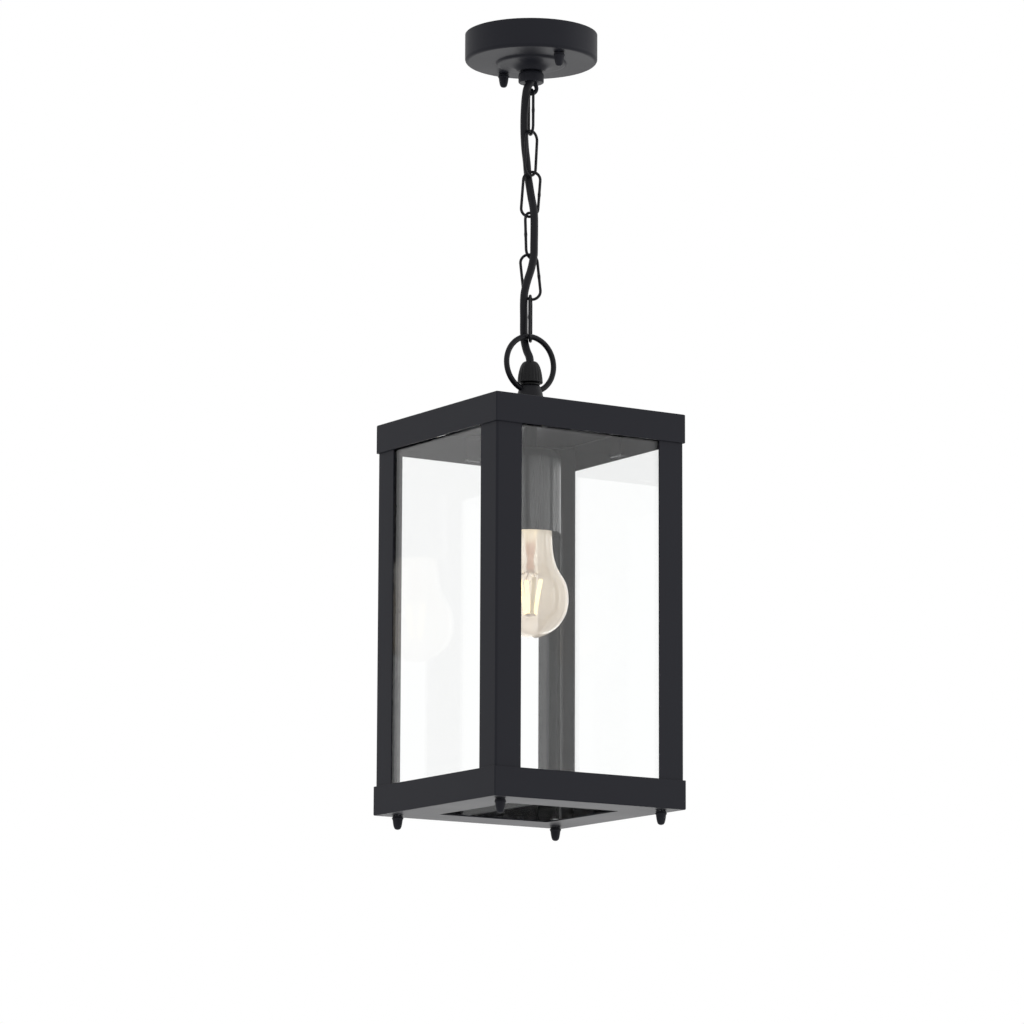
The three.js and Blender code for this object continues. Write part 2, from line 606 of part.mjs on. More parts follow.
// The flex is cut at the middle of each link, so that each stretch spans one joint.
const flexCuts = [DROP - FLEX_START];
for (let i = LINK_COUNT - 1; i >= 0; i -= 1) flexCuts.push(linkLow(i) + LINK_REACH / 2);
flexCuts.push(FLEX_END);
for (let i = 0; i < flexCuts.length - 1; i += 1) {
  const curve = flexStretch(flexCuts[i] - GAP / 2, flexCuts[i + 1] + GAP / 2);
  add(lantern, `flex_${i + 1}`, flexTube(curve), flexJacket);
}

export default root;
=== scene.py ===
# %% [markdown]
# # A glazed hanging lantern
# This lesson dresses a finished CAD model of a hanging lantern: a black powder-coated frame
# with four panes, a ring and cable gland on top, a chain with a flex woven through it, and a
# round canopy at the ceiling. The CAD model fixes every size and every joint. Each visible
# piece is made again here as a finer mesh in the same place, and gets a finish made of nodes.

# %% Load the frame
import math

import bmesh
import bpy
from mathutils import Matrix, Quaternion, Vector


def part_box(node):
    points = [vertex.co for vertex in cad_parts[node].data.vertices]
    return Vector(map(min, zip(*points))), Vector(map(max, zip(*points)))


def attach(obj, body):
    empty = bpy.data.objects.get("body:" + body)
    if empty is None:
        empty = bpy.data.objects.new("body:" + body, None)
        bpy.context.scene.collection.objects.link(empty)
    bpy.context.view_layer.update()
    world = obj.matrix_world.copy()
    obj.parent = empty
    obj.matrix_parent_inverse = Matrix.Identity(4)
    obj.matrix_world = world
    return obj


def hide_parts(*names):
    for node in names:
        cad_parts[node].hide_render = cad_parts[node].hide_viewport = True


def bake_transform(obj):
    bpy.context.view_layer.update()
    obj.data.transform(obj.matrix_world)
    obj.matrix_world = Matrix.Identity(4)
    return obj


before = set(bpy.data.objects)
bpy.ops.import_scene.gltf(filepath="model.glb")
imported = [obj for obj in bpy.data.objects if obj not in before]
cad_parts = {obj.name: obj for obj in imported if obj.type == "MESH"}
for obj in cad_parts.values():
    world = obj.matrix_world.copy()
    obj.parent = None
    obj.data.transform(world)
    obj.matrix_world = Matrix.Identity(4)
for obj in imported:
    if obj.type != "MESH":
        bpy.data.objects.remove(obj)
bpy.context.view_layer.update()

# %% [markdown]
# Sizes are kept in metres, with `MM` to write them the way a workshop drawing does. Heights
# come from the CAD nodes, so nothing has to be fitted by eye: the cap's top is the level that
# all of the lantern's own heights are counted from.

# %% Shared sizes
MM = 0.001
FULL_TURN = 2 * math.pi
QUARTER_TURN = math.pi / 2
CAP_LOW, CAP_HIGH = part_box("top_cap")
TRAY_LOW, TRAY_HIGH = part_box("bottom_tray")
CAP_TOP = CAP_HIGH.z
HALF = CAP_HIGH.x
SHEET = 1.0 * MM
POST_SHEET = 1.2 * MM
LAYING_GAP = 0.3 * MM
FLEX_R = 3.0 * MM
CORNERS = ["front_left", "front_right", "back_right", "back_left"]
SIDES = ["front", "right", "back", "left"]


def above_cap(millimetres):
    """A height given in millimetres above the cap's top, in the frame's metres."""
    return CAP_TOP + millimetres * MM


def from_drawing(outline):
    """An outline of (radius, height above the cap's top) in millimetres, in the frame's metres."""
    return [(r * MM, above_cap(z)) for r, z in outline]


def round_angles(count, shift=0):
    """Evenly spaced angles round a full turn."""
    return [FULL_TURN * (i + shift) / count for i in range(count)]


print(f"cap {2 * HALF:.3f} m square, body {CAP_TOP - TRAY_LOW.z:.3f} m tall")

# %% [markdown]
# ## The camera
# The lantern hangs above eye level, and the camera looks a little upwards from a long way off
# through a long lens, which keeps the uprights almost parallel. The camera stands on a sphere
# round the lantern's middle, given by an azimuth and an elevation as a surveyor would, and is
# then aimed by a small turn so that the lantern sits low in the frame under its chain.

# %% Camera
CAMERA_AZIMUTH = math.radians(-33.17)
CAMERA_ELEVATION = math.radians(-8.47)
CAMERA_DISTANCE = 3.705
CAMERA_LEVEL = -150.6
AIM_UP = 0.0212
AIM_ASIDE = -0.0036
CAMERA_ROLL = math.radians(0.23)
LENS = 172.3


def place_camera(name, height):
    """Puts the camera on its sphere round the lantern's axis at that height, and aims it."""
    camera = bpy.data.objects.new(name, bpy.data.cameras.new(name))
    bpy.context.scene.collection.objects.link(camera)
    camera.data.lens = LENS
    camera.data.sensor_width = 36
    camera.data.clip_end = 50
    back = Vector((
        math.sin(CAMERA_AZIMUTH) * math.cos(CAMERA_ELEVATION),
        -math.cos(CAMERA_AZIMUTH) * math.cos(CAMERA_ELEVATION),
        math.sin(CAMERA_ELEVATION),
    ))
    aside = Vector((math.cos(CAMERA_AZIMUTH), math.sin(CAMERA_AZIMUTH), 0))
    up = back.cross(aside)
    camera.location = Vector((0, 0, height)) + back * CAMERA_DISTANCE
    look = -back + up * AIM_UP + aside * AIM_ASIDE
    turn = look.to_track_quat("-Z", "Y") @ Quaternion((0, 0, 1), CAMERA_ROLL)
    camera.rotation_euler = turn.to_euler()
    bpy.context.scene.camera = camera
    return camera


camera = place_camera("studio_camera", above_cap(CAMERA_LEVEL))
print("camera at", [round(v, 3) for v in camera.location])

# %% [markdown]
# ## Making meshes
# Nearly every piece of this lantern was made in one of three ways: turned on a lathe, bent
# from sheet round a square former, or drawn as wire and bent along a line. So three builders
# cover it. Each makes rows of points and joins neighbouring rows with four-sided faces. That
# gives even edge loops, which shade well, where a boolean or a remesh would leave slivers.

# %% Points and faces
SHARP = math.radians(32)


def smoothed(mesh):
    """Shades a mesh smooth, except along edges that turn sharply."""
    mesh.shade_smooth()
    mesh.set_sharp_from_angle(angle=SHARP)
    return mesh


def new_object(name, mesh):
    made = bpy.data.objects.new(name, smoothed(mesh))
    bpy.context.scene.collection.objects.link(made)
    return made


def new_piece(name, points, faces):
    """A mesh object from points and faces, without doubled points or empty faces."""
    mesh = bpy.data.meshes.new(name)
    mesh.from_pydata([tuple(p) for p in points], [], faces)
    tidy = bmesh.new()
    tidy.from_mesh(mesh)
    bmesh.ops.remove_doubles(tidy, verts=tidy.verts, dist=1e-7)
    bmesh.ops.dissolve_degenerate(tidy, edges=tidy.edges, dist=1e-8)
    bmesh.ops.recalc_face_normals(tidy, faces=tidy.faces)
    tidy.to_mesh(mesh)
    tidy.free()
    return new_object(name, mesh)


def from_rows(name, rows, close_rows=False, capped=False):
    """A piece whose skin joins closed rows of points, one after the other."""
    count = len(rows[0])
    spans = len(rows) if close_rows else len(rows) - 1
    faces = []
    for r in range(spans):
        here, there = r * count, ((r + 1) % len(rows)) * count
        for i in range(count):
            j = (i + 1) % count
            faces.append((here + i, here + j, there + j, there + i))
    if capped:
        last = (len(rows) - 1) * count
        faces.append(tuple(range(count))[::-1])
        faces.append(tuple(range(last, last + count)))
    return new_piece(name, [p for row in rows for p in row], faces)


print("points and faces ready")

# %% [markdown]
# Folding and turning differ only in where each row of points lies. A square whose corners are
# as round as it is wide is a circle, so one ring function draws a sheet's outer edge and also
# the round hole in its middle. `arc` gives the soft corners of an outline.

# %% Folded, turned and pulled
def square_ring(half, corner, z, steps):
    """A level ring: a square with rounded corners, or a circle where corner equals half."""
    ring = []
    centre = (half - corner) * math.sqrt(2)
    for quarter in range(4):
        middle = QUARTER_TURN * quarter + math.pi / 4
        for i in range(steps + 1):
            a = QUARTER_TURN * (quarter + i / steps)
            ring.append(Vector((
                centre * math.cos(middle) + corner * math.cos(a),
                centre * math.sin(middle) + corner * math.sin(a),
                z,
            )))
    return ring


def folded(name, outline, steps=6):
    """Sheet metal round a square former. The outline is a closed run of (half, corner, z)."""
    rows = [square_ring(half, corner, z, steps) for half, corner, z in outline]
    return from_rows(name, rows, close_rows=True)


def turned(name, outline, sides=64, centre=(0, 0), wobble=None):
    """A lathe piece. The outline is (radius, z), closed on itself unless it ends on the axis."""
    rows = []
    for r, z in outline:
        row = []
        for a in round_angles(sides):
            reach = r + (wobble(a, r, z) if wobble else 0)
            row.append((centre[0] + reach * math.cos(a), centre[1] + reach * math.sin(a), z))
        rows.append(row)
    return from_rows(name, rows, close_rows=outline[0][0] > 0 or outline[-1][0] > 0)


def pulled_up(name, outline, low, high):
    """A prism: a level outline of (x, y), pulled from one height to another."""
    return from_rows(name, [[(x, y, z) for x, y in outline] for z in (low, high)], capped=True)


def block(name, low, high):
    outline = [(low.x, low.y), (high.x, low.y), (high.x, high.y), (low.x, high.y)]
    return pulled_up(name, outline, low.z, high.z)


def arc(centre, radius, start, end, steps=6):
    """Points (r, z) on an arc between two angles in degrees, counted from outwards to upwards."""
    points = []
    for i in range(steps + 1):
        a = math.radians(start + (end - start) * i / steps)
        points.append((centre[0] + radius * math.cos(a), centre[1] + radius * math.sin(a)))
    return points


print("folding, turning and pulling ready")

# %% [markdown]
# Wire needs a frame of two directions across its line. Carrying the same frame along, and only
# straightening it against the new direction at each point, keeps the wire from twisting.

# %% Wire
def wire_rows(line, radius, sides, closed, lift=None):
    """Rings of points round a line, carried along without twisting."""
    before = [line[-1] if closed else line[0], *line[:-1]]
    after = [*line[1:], line[0] if closed else line[-1]]
    ahead = [b - a for a, b in zip(before, after)]
    normal = ahead[0].orthogonal().normalized() if lift is None else Vector(lift)
    rows = []
    for i, point in enumerate(line):
        direction = ahead[i].normalized()
        normal = (normal - direction * normal.dot(direction)).normalized()
        other = direction.cross(normal)
        size = radius(i / len(line)) if callable(radius) else radius
        rows.append([
            point + normal * size * math.cos(a) + other * size * math.sin(a)
            for a in round_angles(sides)
        ])
    return rows


def wire(name, line, radius, sides=16, closed=False, lift=None):
    """Round wire along a line. An open wire has flat ends."""
    rows = wire_rows(line, radius, sides, closed, lift)
    return from_rows(name, rows, close_rows=closed, capped=not closed)


print("wire ready")

# %% [markdown]
# A bevel takes the sharpness off edges, as tumbling or coating does, and a boolean cuts one
# closed mesh out of another. Both are modifiers, and `applied` keeps their result as a plain
# mesh, so that what comes after can move it or join it to its neighbours.

# %% Edges, holes and joined parts
EASED_ANGLE = math.radians(40)


def applied(piece):
    """Turns the piece's modifiers into its mesh."""
    bpy.context.view_layer.update()
    result = piece.evaluated_get(bpy.context.evaluated_depsgraph_get())
    mesh = bpy.data.meshes.new_from_object(result)
    piece.modifiers.clear()
    piece.data = smoothed(mesh)
    return piece


def ease_edges(piece, width, segments=2):
    """Gives a piece's edges a small bevel."""
    bevel = piece.modifiers.new("eased", "BEVEL")
    bevel.width, bevel.segments, bevel.angle_limit = width, segments, EASED_ANGLE
    bevel.harden_normals = False
    return applied(piece)


def carve(piece, cutter):
    """Cuts one closed mesh out of another."""
    boolean = piece.modifiers.new("carved", "BOOLEAN")
    boolean.operation, boolean.object, boolean.solver = "DIFFERENCE", cutter, "EXACT"
    applied(piece)
    bpy.data.objects.remove(cutter)


def together(name, *pieces):
    """One object out of several that are one part on the real thing."""
    gathered = bmesh.new()
    for piece in pieces:
        gathered.from_mesh(piece.data)
        bpy.data.objects.remove(piece)
    mesh = bpy.data.meshes.new(name)
    gathered.to_mesh(mesh)
    gathered.free()
    return new_object(name, mesh)


print("edges, holes and joined parts ready")

# %% [markdown]
# ## Writing shaders as sums
# A node tree is easier to read as arithmetic. `Signal` wraps one output socket and turns
# `+ - * / **` into Math nodes, so `0.5 + 0.1 * grain` is two nodes. The reflected forms, such
# as `__rsub__`, are what Python calls for `1 - mask`, where the plain number comes first.

# %% Signal
class Signal:
    """One output socket. Arithmetic on it adds Math nodes."""

    def __init__(self, finish, socket):
        self.finish, self.socket = finish, socket

    def math(self, operation, *terms, first=None):
        values = [self, *terms] if first is None else [first, self]
        return self.finish.node("ShaderNodeMath", {"operation": operation}, dict(enumerate(values)))

    def __add__(self, other):
        return self.math("ADD", other)

    def __sub__(self, other):
        return self.math("SUBTRACT", other)

    def __rsub__(self, other):
        return self.math("SUBTRACT", first=other)

    def __mul__(self, other):
        return self.math("MULTIPLY", other)

    def __truediv__(self, other):
        return self.math("DIVIDE", other)

    def __rtruediv__(self, other):
        return self.math("DIVIDE", first=other)

    def __pow__(self, other):
        return self.math("POWER", other)

    def clamp(self):
        """The same value held between 0 and 1."""
        return self.math("MINIMUM", 1.0).math("MAXIMUM", 0.0)

    __radd__ = __add__
    __rmul__ = __mul__


print("Signal ready")

# %% [markdown]
# `Finish` holds one material, and its `node` makes any node from its type, its settings and
# its inputs. Colours can't go through Math nodes, which would turn them grey, so `mix` blends
# them with a Mix node. The other short methods name the nodes that many finishes share.

# %% Finish
class Finish:
    """One material. `slot` is the record's name for it."""

    def __init__(self, name, slot):
        self.material = bpy.data.materials.new(name)
        self.material.use_nodes = True
        self.tree = self.material.node_tree
        self.surface = self.tree.nodes["Principled BSDF"]
        self.slot = slot

    def node(self, kind, settings=None, inputs=None, output=0):
        """Any node: its type, its settings (set first), then values or links of its sockets."""
        made = self.tree.nodes.new(kind)
        for key, value in (settings or {}).items():
            setattr(made, key, value)
        for key, value in (inputs or {}).items():
            self.put(made.inputs[key], value)
        return Signal(self, made.outputs[output])

    def put(self, socket, value):
        if isinstance(value, Signal):
            self.tree.links.new(value.socket, socket)
        else:
            socket.default_value = value

    def shade(self, **inputs):
        """Sets or links the surface shader's own sockets, named with underscores."""
        for key, value in inputs.items():
            self.put(self.surface.inputs[key.replace("_", " ").title().replace("Ior", "IOR")], value)
        return self

    def place(self):
        return self.node("ShaderNodeTexCoord", output=3)

    def height(self):
        """Metres above the frame's origin, which is at the ceiling."""
        return self.node("ShaderNodeSeparateXYZ", {}, {"Vector": self.place()}, output=2)

    def drawn_out(self, *scale):
        """The place with its axes scaled. A small scale draws a texture out along that axis."""
        inputs = {"Vector": self.place(), "Scale": scale}
        return self.node("ShaderNodeMapping", {"vector_type": "POINT"}, inputs)

    def noise(self, scale, detail=2.0, rough=0.5, where=None):
        """Noise with features 1/scale metres across, from 0 to 1."""
        return self.node("ShaderNodeTexNoise", {"noise_dimensions": "3D"}, {
            "Vector": where or self.place(), "Scale": scale, "Detail": detail, "Roughness": rough,
        })

    def cells(self, scale):
        inputs = {"Vector": self.place(), "Scale": scale}
        return self.node("ShaderNodeTexVoronoi", {"feature": "F1"}, inputs)

    def mix(self, amount, low, high):
        """A colour between two colours."""
        inputs = {0: amount, 6: low, 7: high}
        return self.node("ShaderNodeMix", {"data_type": "RGBA"}, inputs, output=2)

    def bump(self, height, depth, strength):
        inputs = {"Height": height, "Distance": depth, "Strength": strength}
        return self.node("ShaderNodeBump", {}, inputs)


print("Finish ready")

# %% [markdown]
# Many small parts have a finish in which one texture shows three times: where the skin is a
# shade lighter it is also a little rougher, and stands a little proud. `mottled` makes those.
# A finish whose colour and relief have different causes is written out in a function.

# %% Mottled finishes
def mottled(name, slot, texture, colours, gloss, relief, **constants):
    """Colour, roughness and relief from one noise, given by its scale, detail and roughness."""
    finish = Finish(name, slot)
    mottle = finish.noise(*texture)
    return finish.shade(
        base_color=finish.mix(mottle, *colours),
        roughness=gloss[0] + gloss[1] * mottle,
        normal=finish.bump(mottle, *relief),
        **constants,
    )


print("mottled finishes ready")

# %% [markdown]
# ## Dressing a piece
# A visible piece needs a finish, a body to ride on and the names of the CAD nodes that it
# stands for, which are then hidden. The weighted-normal modifier keeps large flats evenly lit
# beside their small bends. CAD nodes that stay in sight get only a finish.

# %% Dressing
def dress(piece, finish, body=None, stands_for=()):
    """Gives a piece its finish, lets it ride on a body and hides the CAD nodes it stands for."""
    piece.data.materials.clear()
    piece.data.materials.append(finish.material)
    if body:
        even = piece.modifiers.new("flats_stay_flat", "WEIGHTED_NORMAL")
        even.keep_sharp = True
        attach(piece, body)
    if stands_for:
        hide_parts(*stands_for)


def redress(finish, *nodes):
    """Gives CAD nodes that stay as they are a finish of their own."""
    for node in nodes:
        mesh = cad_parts[node].data
        mesh.materials.clear()
        mesh.materials.append(finish.material)


print("dressing ready")

# %% [markdown]
# ## Powder coat
# The frame is sheet steel, electrostatically dusted with powder and baked. That leaves a thick
# matt skin with a faint orange-peel texture, a fraction of a millimetre across, and slow drifts
# in gloss where the coat is thicker. Real displacement would need millions of faces, so two
# scales of bump do it, and the drifts only move colour and roughness by a few percent.

# %% Powder coat
def make_powder_coat():
    coat = Finish("blue_black_powder_coat", "black_coat")
    drift = coat.noise(22, detail=3)
    grain = coat.noise(900, detail=2, rough=0.6)
    peel = coat.cells(1100)
    thin, thick = (0.0115, 0.0120, 0.0165, 1), (0.0150, 0.0155, 0.0205, 1)
    return coat.shade(
        base_color=coat.mix(drift * 0.7 + grain * 0.3, thin, thick),
        roughness=0.42 + 0.10 * drift + 0.06 * grain,
        specular_ior_level=0.12,
        normal=coat.bump(grain + peel * 0.6, 0.00006, 0.35),
    )


powder_coat = make_powder_coat()
print("finish:", powder_coat.material.name)

# %% [markdown]
# ## Sleeve enamel
# The lampholder's sleeve is drawn tube under a glossier enamel, which shows the faint
# lengthwise streaks of the drawing in its roughness and relief. Noise that is drawn out along Z
# gives those, and also darker and lighter lengthwise bands in its colour, which are painted
# reflections of the room round the cylinder.

# %% Sleeve enamel
def make_sleeve_enamel():
    enamel = Finish("semi_gloss_sleeve_enamel", "black_coat")
    draw = enamel.noise(190, detail=2, where=enamel.drawn_out(1, 1, 0.03))
    grain = enamel.noise(900, detail=2)
    return enamel.shade(
        # Painted reflection: darker and lighter lengthwise bands of colour stand in for the room
        # reflected round the sleeve.
        base_color=enamel.mix(draw, (0.006, 0.007, 0.008, 1), (0.040, 0.043, 0.045, 1)),
        roughness=0.20 + 0.10 * draw + 0.02 * grain,
        specular_ior_level=0.9,
        normal=enamel.bump(draw, 0.0001, 0.12),
    )


sleeve_enamel = make_sleeve_enamel()
print("finish:", sleeve_enamel.material.name)

# %% [markdown]
# ## Painted wire, moulded plastic and the flex's jacket
# The chain and ring are drawn steel wire dipped in black paint, so they are smoother than the
# frame, with thin runs along their length. The gland is moulded nylon with an even sparkle-free
# grain. The flex has an extruded PVC jacket: very smooth, with a faint lengthwise draw.

# %% Dark finishes
INK_BLACK = [(0.002, 0.002, 0.004, 1), (0.005, 0.005, 0.008, 1)]
DULL_SHINE = 0.22


def make_wire_paint():
    paint = Finish("dipped_black_paint", "black_wire")
    runs = paint.noise(260, detail=3)
    specks = paint.noise(1500, detail=1)
    return paint.shade(
        base_color=paint.mix(runs, *INK_BLACK),
        roughness=0.40 + 0.14 * runs,
        specular_ior_level=DULL_SHINE,
        normal=paint.bump(runs + specks * 0.3, 0.00005, 0.45),
    )


def make_jacket():
    jacket = Finish("black_pvc_jacket", "flex_jacket")
    draw = jacket.noise(1600, detail=2, where=jacket.drawn_out(1, 1, 0.12))
    scuff = jacket.noise(90, detail=4, rough=0.65)
    return jacket.shade(
        base_color=jacket.mix(scuff, *INK_BLACK),
        roughness=0.40 + 0.10 * scuff + 0.08 * draw,
        specular_ior_level=DULL_SHINE,
        normal=jacket.bump(draw + scuff * 0.5, 0.00004, 0.4),
    )


wire_paint, jacket = make_wire_paint(), make_jacket()
nylon = mottled(
    "moulded_black_nylon", "black_plastic", (1300, 2, 0.7),
    [(0.002, 0.002, 0.003, 1), (0.005, 0.005, 0.006, 1)], (0.42, 0.12), (0.00004, 0.5),
    specular_ior_level=DULL_SHINE)
print("finishes:", wire_paint.material.name, nylon.material.name, jacket.material.name)

# %% [markdown]
# ## Zinc plate
# Screws, nuts and the ceiling bar are zinc plated: pale, slightly cloudy, with fine brushing.
# The glass clips are zinc that was passivated black. Their lowest edge was sheared after that,
# so it is bare, and a mask made from the height turns colour and metal on there.

# %% Zinc finishes
def make_zinc():
    zinc = Finish("bright_zinc_plate", "zinc_plate")
    cloud = zinc.noise(120, detail=4)
    brushing = zinc.noise(2400, detail=1, where=zinc.drawn_out(1, 0.08, 1))
    return zinc.shade(
        base_color=zinc.mix(cloud, (0.46, 0.47, 0.49, 1), (0.62, 0.62, 0.61, 1)),
        metallic=1.0,
        roughness=0.24 + 0.16 * cloud + 0.08 * brushing,
        normal=zinc.bump(brushing, 0.00003, 0.4),
    )


def make_dark_zinc():
    dark = Finish("black_passivated_zinc", "zinc_plate")
    cloud = dark.noise(150, detail=4)
    bare_to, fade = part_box("glass_clip_front")[0].z + 1.6 * MM, 0.6 * MM
    bare = ((bare_to - dark.height()) / fade).clamp()
    passivated = dark.mix(cloud, (0.010, 0.010, 0.012, 1), (0.020, 0.020, 0.022, 1))
    return dark.shade(
        base_color=dark.mix(bare, passivated, (0.60, 0.61, 0.62, 1)),
        metallic=bare,
        roughness=0.40 + 0.15 * cloud,
        specular_ior_level=0.3,
        normal=dark.bump(cloud, 0.00004, 0.3),
    )


zinc, dark_zinc = make_zinc(), make_dark_zinc()
print("finishes:", zinc.material.name, dark_zinc.material.name)

# %% [markdown]
# ## Brass, copper, porcelain, rubber and plastic
# The bulb's screw cap is thin pressed brass, and the wires in the bulb are plated with copper.
# The lampholder's insert is glazed porcelain, which has a dead white body under a clear glaze,
# and that is just what the shader's coat layer is for.

# %% Small finishes
def make_porcelain():
    porcelain = Finish("glazed_porcelain", "porcelain")
    body = porcelain.noise(70, detail=3)
    pits = porcelain.noise(700, detail=1)
    return porcelain.shade(
        base_color=porcelain.mix(body, (0.74, 0.72, 0.67, 1), (0.82, 0.81, 0.77, 1)),
        roughness=0.30 + 0.12 * body,
        coat_weight=0.6,
        coat_roughness=0.06,
        normal=porcelain.bump(pits, 0.00004, 0.3),
    )


porcelain = make_porcelain()
brass = mottled(
    "pressed_brass", "brass_screw", (180, 4, 0.6),
    [(0.66, 0.50, 0.22, 1), (0.50, 0.36, 0.15, 1)], (0.22, 0.2), (0.00004, 0.3), metallic=1.0)
copper_wire = mottled(
    "copper_plated_lead_wire", "filament", (800, 3),
    [(0.20, 0.11, 0.06, 1), (0.36, 0.22, 0.13, 1)], (0.42, 0.15), (0.00003, 0.3), metallic=0.7)
rubber = mottled(
    "seal_rubber_black", "seal_rubber", (200, 4),
    [(0.010, 0.010, 0.010, 1), (0.024, 0.024, 0.024, 1)], (0.65, 0.15), (0.00005, 0.4))
white_plastic = mottled(
    "moulded_white_plastic", "white_plastic", (150, 3),
    [(0.72, 0.72, 0.70, 1), (0.80, 0.80, 0.78, 1)], (0.34, 0.1), (0.00005, 0.3))
small_finishes = [porcelain, brass, copper_wire, rubber, white_plastic]
print("finishes:", ", ".join(finish.material.name for finish in small_finishes))

# %% [markdown]
# ## Glass
# The panes are clear float glass. A transmissive shader on a solid pane gives the right grey
# veil over dark things behind it, because both of its faces reflect the pale studio. The bulb
# is blown glass, only partly transmissive, with a base tint a little warmer towards the neck.
# The filament's light in it is painted on as a milky emission glow, brighter and paler at the
# neck. Where the wall is seen edge on, a painted brown shade darkens it.

# %% Glass finishes
BULB_NECK, BULB_TIP = above_cap(-84), above_cap(-168)


def make_pane_glass():
    glass = Finish("clear_float_glass", "pane_glass")
    smear = glass.noise(14, detail=4, rough=0.6)
    return glass.shade(
        base_color=(0.995, 1.0, 0.998, 1),
        roughness=(smear - 0.55).clamp() * 0.05,
        transmission_weight=1.0,
        ior=1.5,
    )


def make_bulb_glass():
    glass = Finish("bulb_glass_painted_glow", "bulb_glass")
    towards_neck = ((glass.height() - BULB_TIP) / (BULB_NECK - BULB_TIP)).clamp()
    haze = glass.noise(25, detail=2)
    # Painted shade: where the wall is seen edge on, its colour turns a darker brown.
    painted_rim_shade = glass.node("ShaderNodeLayerWeight", {}, {"Blend": 0.3}, output=1)
    cream = glass.mix(towards_neck ** 1.5, (1.0, 0.965, 0.925, 1), (1.0, 0.95, 0.88, 1))
    glow = glass.mix(haze, (0.50, 0.44, 0.37, 1), (0.56, 0.51, 0.45, 1))
    return glass.shade(
        base_color=glass.mix(painted_rim_shade ** 3.0, cream, (0.50, 0.38, 0.24, 1)),
        roughness=0.02 * haze,
        transmission_weight=0.70,
        ior=1.46,
        # Painted glow: this emission stands in for the filament's light scattered in the glass,
        # brighter towards the neck.
        emission_color=glass.mix(towards_neck ** 2.0, glow, (0.74, 0.71, 0.64, 1)),
        emission_strength=0.17,
    )


pane_glass, bulb_glass = make_pane_glass(), make_bulb_glass()
print("finishes:", pane_glass.material.name, bulb_glass.material.name)

# %% [markdown]
# ## Stem and phosphor
# The stem is clear at its flare, and brown where it is pinched flat round the copper wires, so
# its colour follows the height. The filament's light in the stem is painted on as emission,
# bright at the flare and dull brown at the pinch. The sticks are covered in yellow phosphor,
# and their emission is kept low enough for its colour to survive.

# %% Stem and phosphor
PINCH_TOP, PINCH_FADE = above_cap(-91), 7 * MM


def make_stem_glass():
    glass = Finish("stem_glass_painted_glow", "bulb_glass")
    ripple = glass.noise(300, detail=1)
    pinched = ((PINCH_TOP - glass.height()) / PINCH_FADE).clamp()
    brown = glass.mix(ripple, (0.78, 0.36, 0.15, 1), (0.56, 0.22, 0.08, 1))
    return glass.shade(
        base_color=glass.mix(pinched, (1.0, 0.93, 0.80, 1), brown),
        roughness=0.05 + 0.05 * ripple,
        transmission_weight=0.35,
        ior=1.5,
        # Painted glow: the stem is no lamp, and this emission stands in for the filament's light in
        # it.
        emission_color=glass.mix(pinched, (1.0, 0.94, 0.76, 1), (0.30, 0.15, 0.06, 1)),
        emission_strength=0.24,
        normal=glass.bump(ripple, 0.0001, 0.3),
    )


def make_phosphor(name, strength):
    phosphor = Finish(name, "filament")
    grain = phosphor.noise(1500, detail=2)
    return phosphor.shade(
        base_color=phosphor.mix(grain, (0.62, 0.52, 0.22, 1), (0.72, 0.62, 0.32, 1)),
        roughness=0.55 + 0.1 * grain,
        emission_color=phosphor.mix(grain, (1.0, 0.80, 0.38, 1), (1.0, 0.86, 0.48, 1)),
        emission_strength=strength,
    )


stem_glass = make_stem_glass()
phosphor = make_phosphor("yellow_phosphor_lit", 2.2)
# Painted shade: a shaded copy of the lit phosphor, for the stick that shows darker.
painted_shade_phosphor = make_phosphor("yellow_phosphor_painted_shade", 0.05)
print("finishes:", ", ".join(f.material.name for f in (stem_glass, phosphor, painted_shade_phosphor)))

# %% [markdown]
# ## Cap and tray
# Both are shallow boxes folded from one-millimetre sheet with welded, ground corners. A cube
# with a solidify modifier would give razor edges. Following the sheet's section round a square
# former instead lets every fold have its own small bend radius, inside and out.

# %% Cap and tray
FOLD = 0.9 * MM
CORNER = 1.0 * MM
INNER_CORNER = 0.6 * CORNER
NICK = 0.15 * MM
CAP_SKIRT = CAP_TOP - CAP_LOW.z
TUBE_HOLE = 5.3 * MM
TRAY_OPENING = 48.5 * MM
OPENING_CORNER = 1.2 * MM
INNER = HALF - SHEET


def fold_outline(edge_z, toward, steps=4):
    """The outer bend between a flat at edge_z and a skirt that leaves it, as (half, corner, z)."""
    bend = []
    for i in range(steps + 1):
        a = QUARTER_TURN * i / steps
        z = edge_z + toward * FOLD * (1 - math.cos(a))
        bend.append((HALF - FOLD + FOLD * math.sin(a), CORNER, z))
    return bend


def make_cap():
    top, painted_rim_shade = CAP_TOP, CAP_LOW.z
    return folded("top_cap_sheet", [
        (TUBE_HOLE, TUBE_HOLE, top),
        *fold_outline(top, -1),
        (HALF, CORNER, painted_rim_shade + NICK), (HALF - NICK, CORNER, painted_rim_shade),
        (INNER + NICK, INNER_CORNER, painted_rim_shade), (INNER, INNER_CORNER, painted_rim_shade + NICK),
        (INNER, INNER_CORNER, top - SHEET - NICK), (INNER - NICK, INNER_CORNER, top - SHEET),
        (TUBE_HOLE, TUBE_HOLE, top - SHEET),
    ], steps=8)


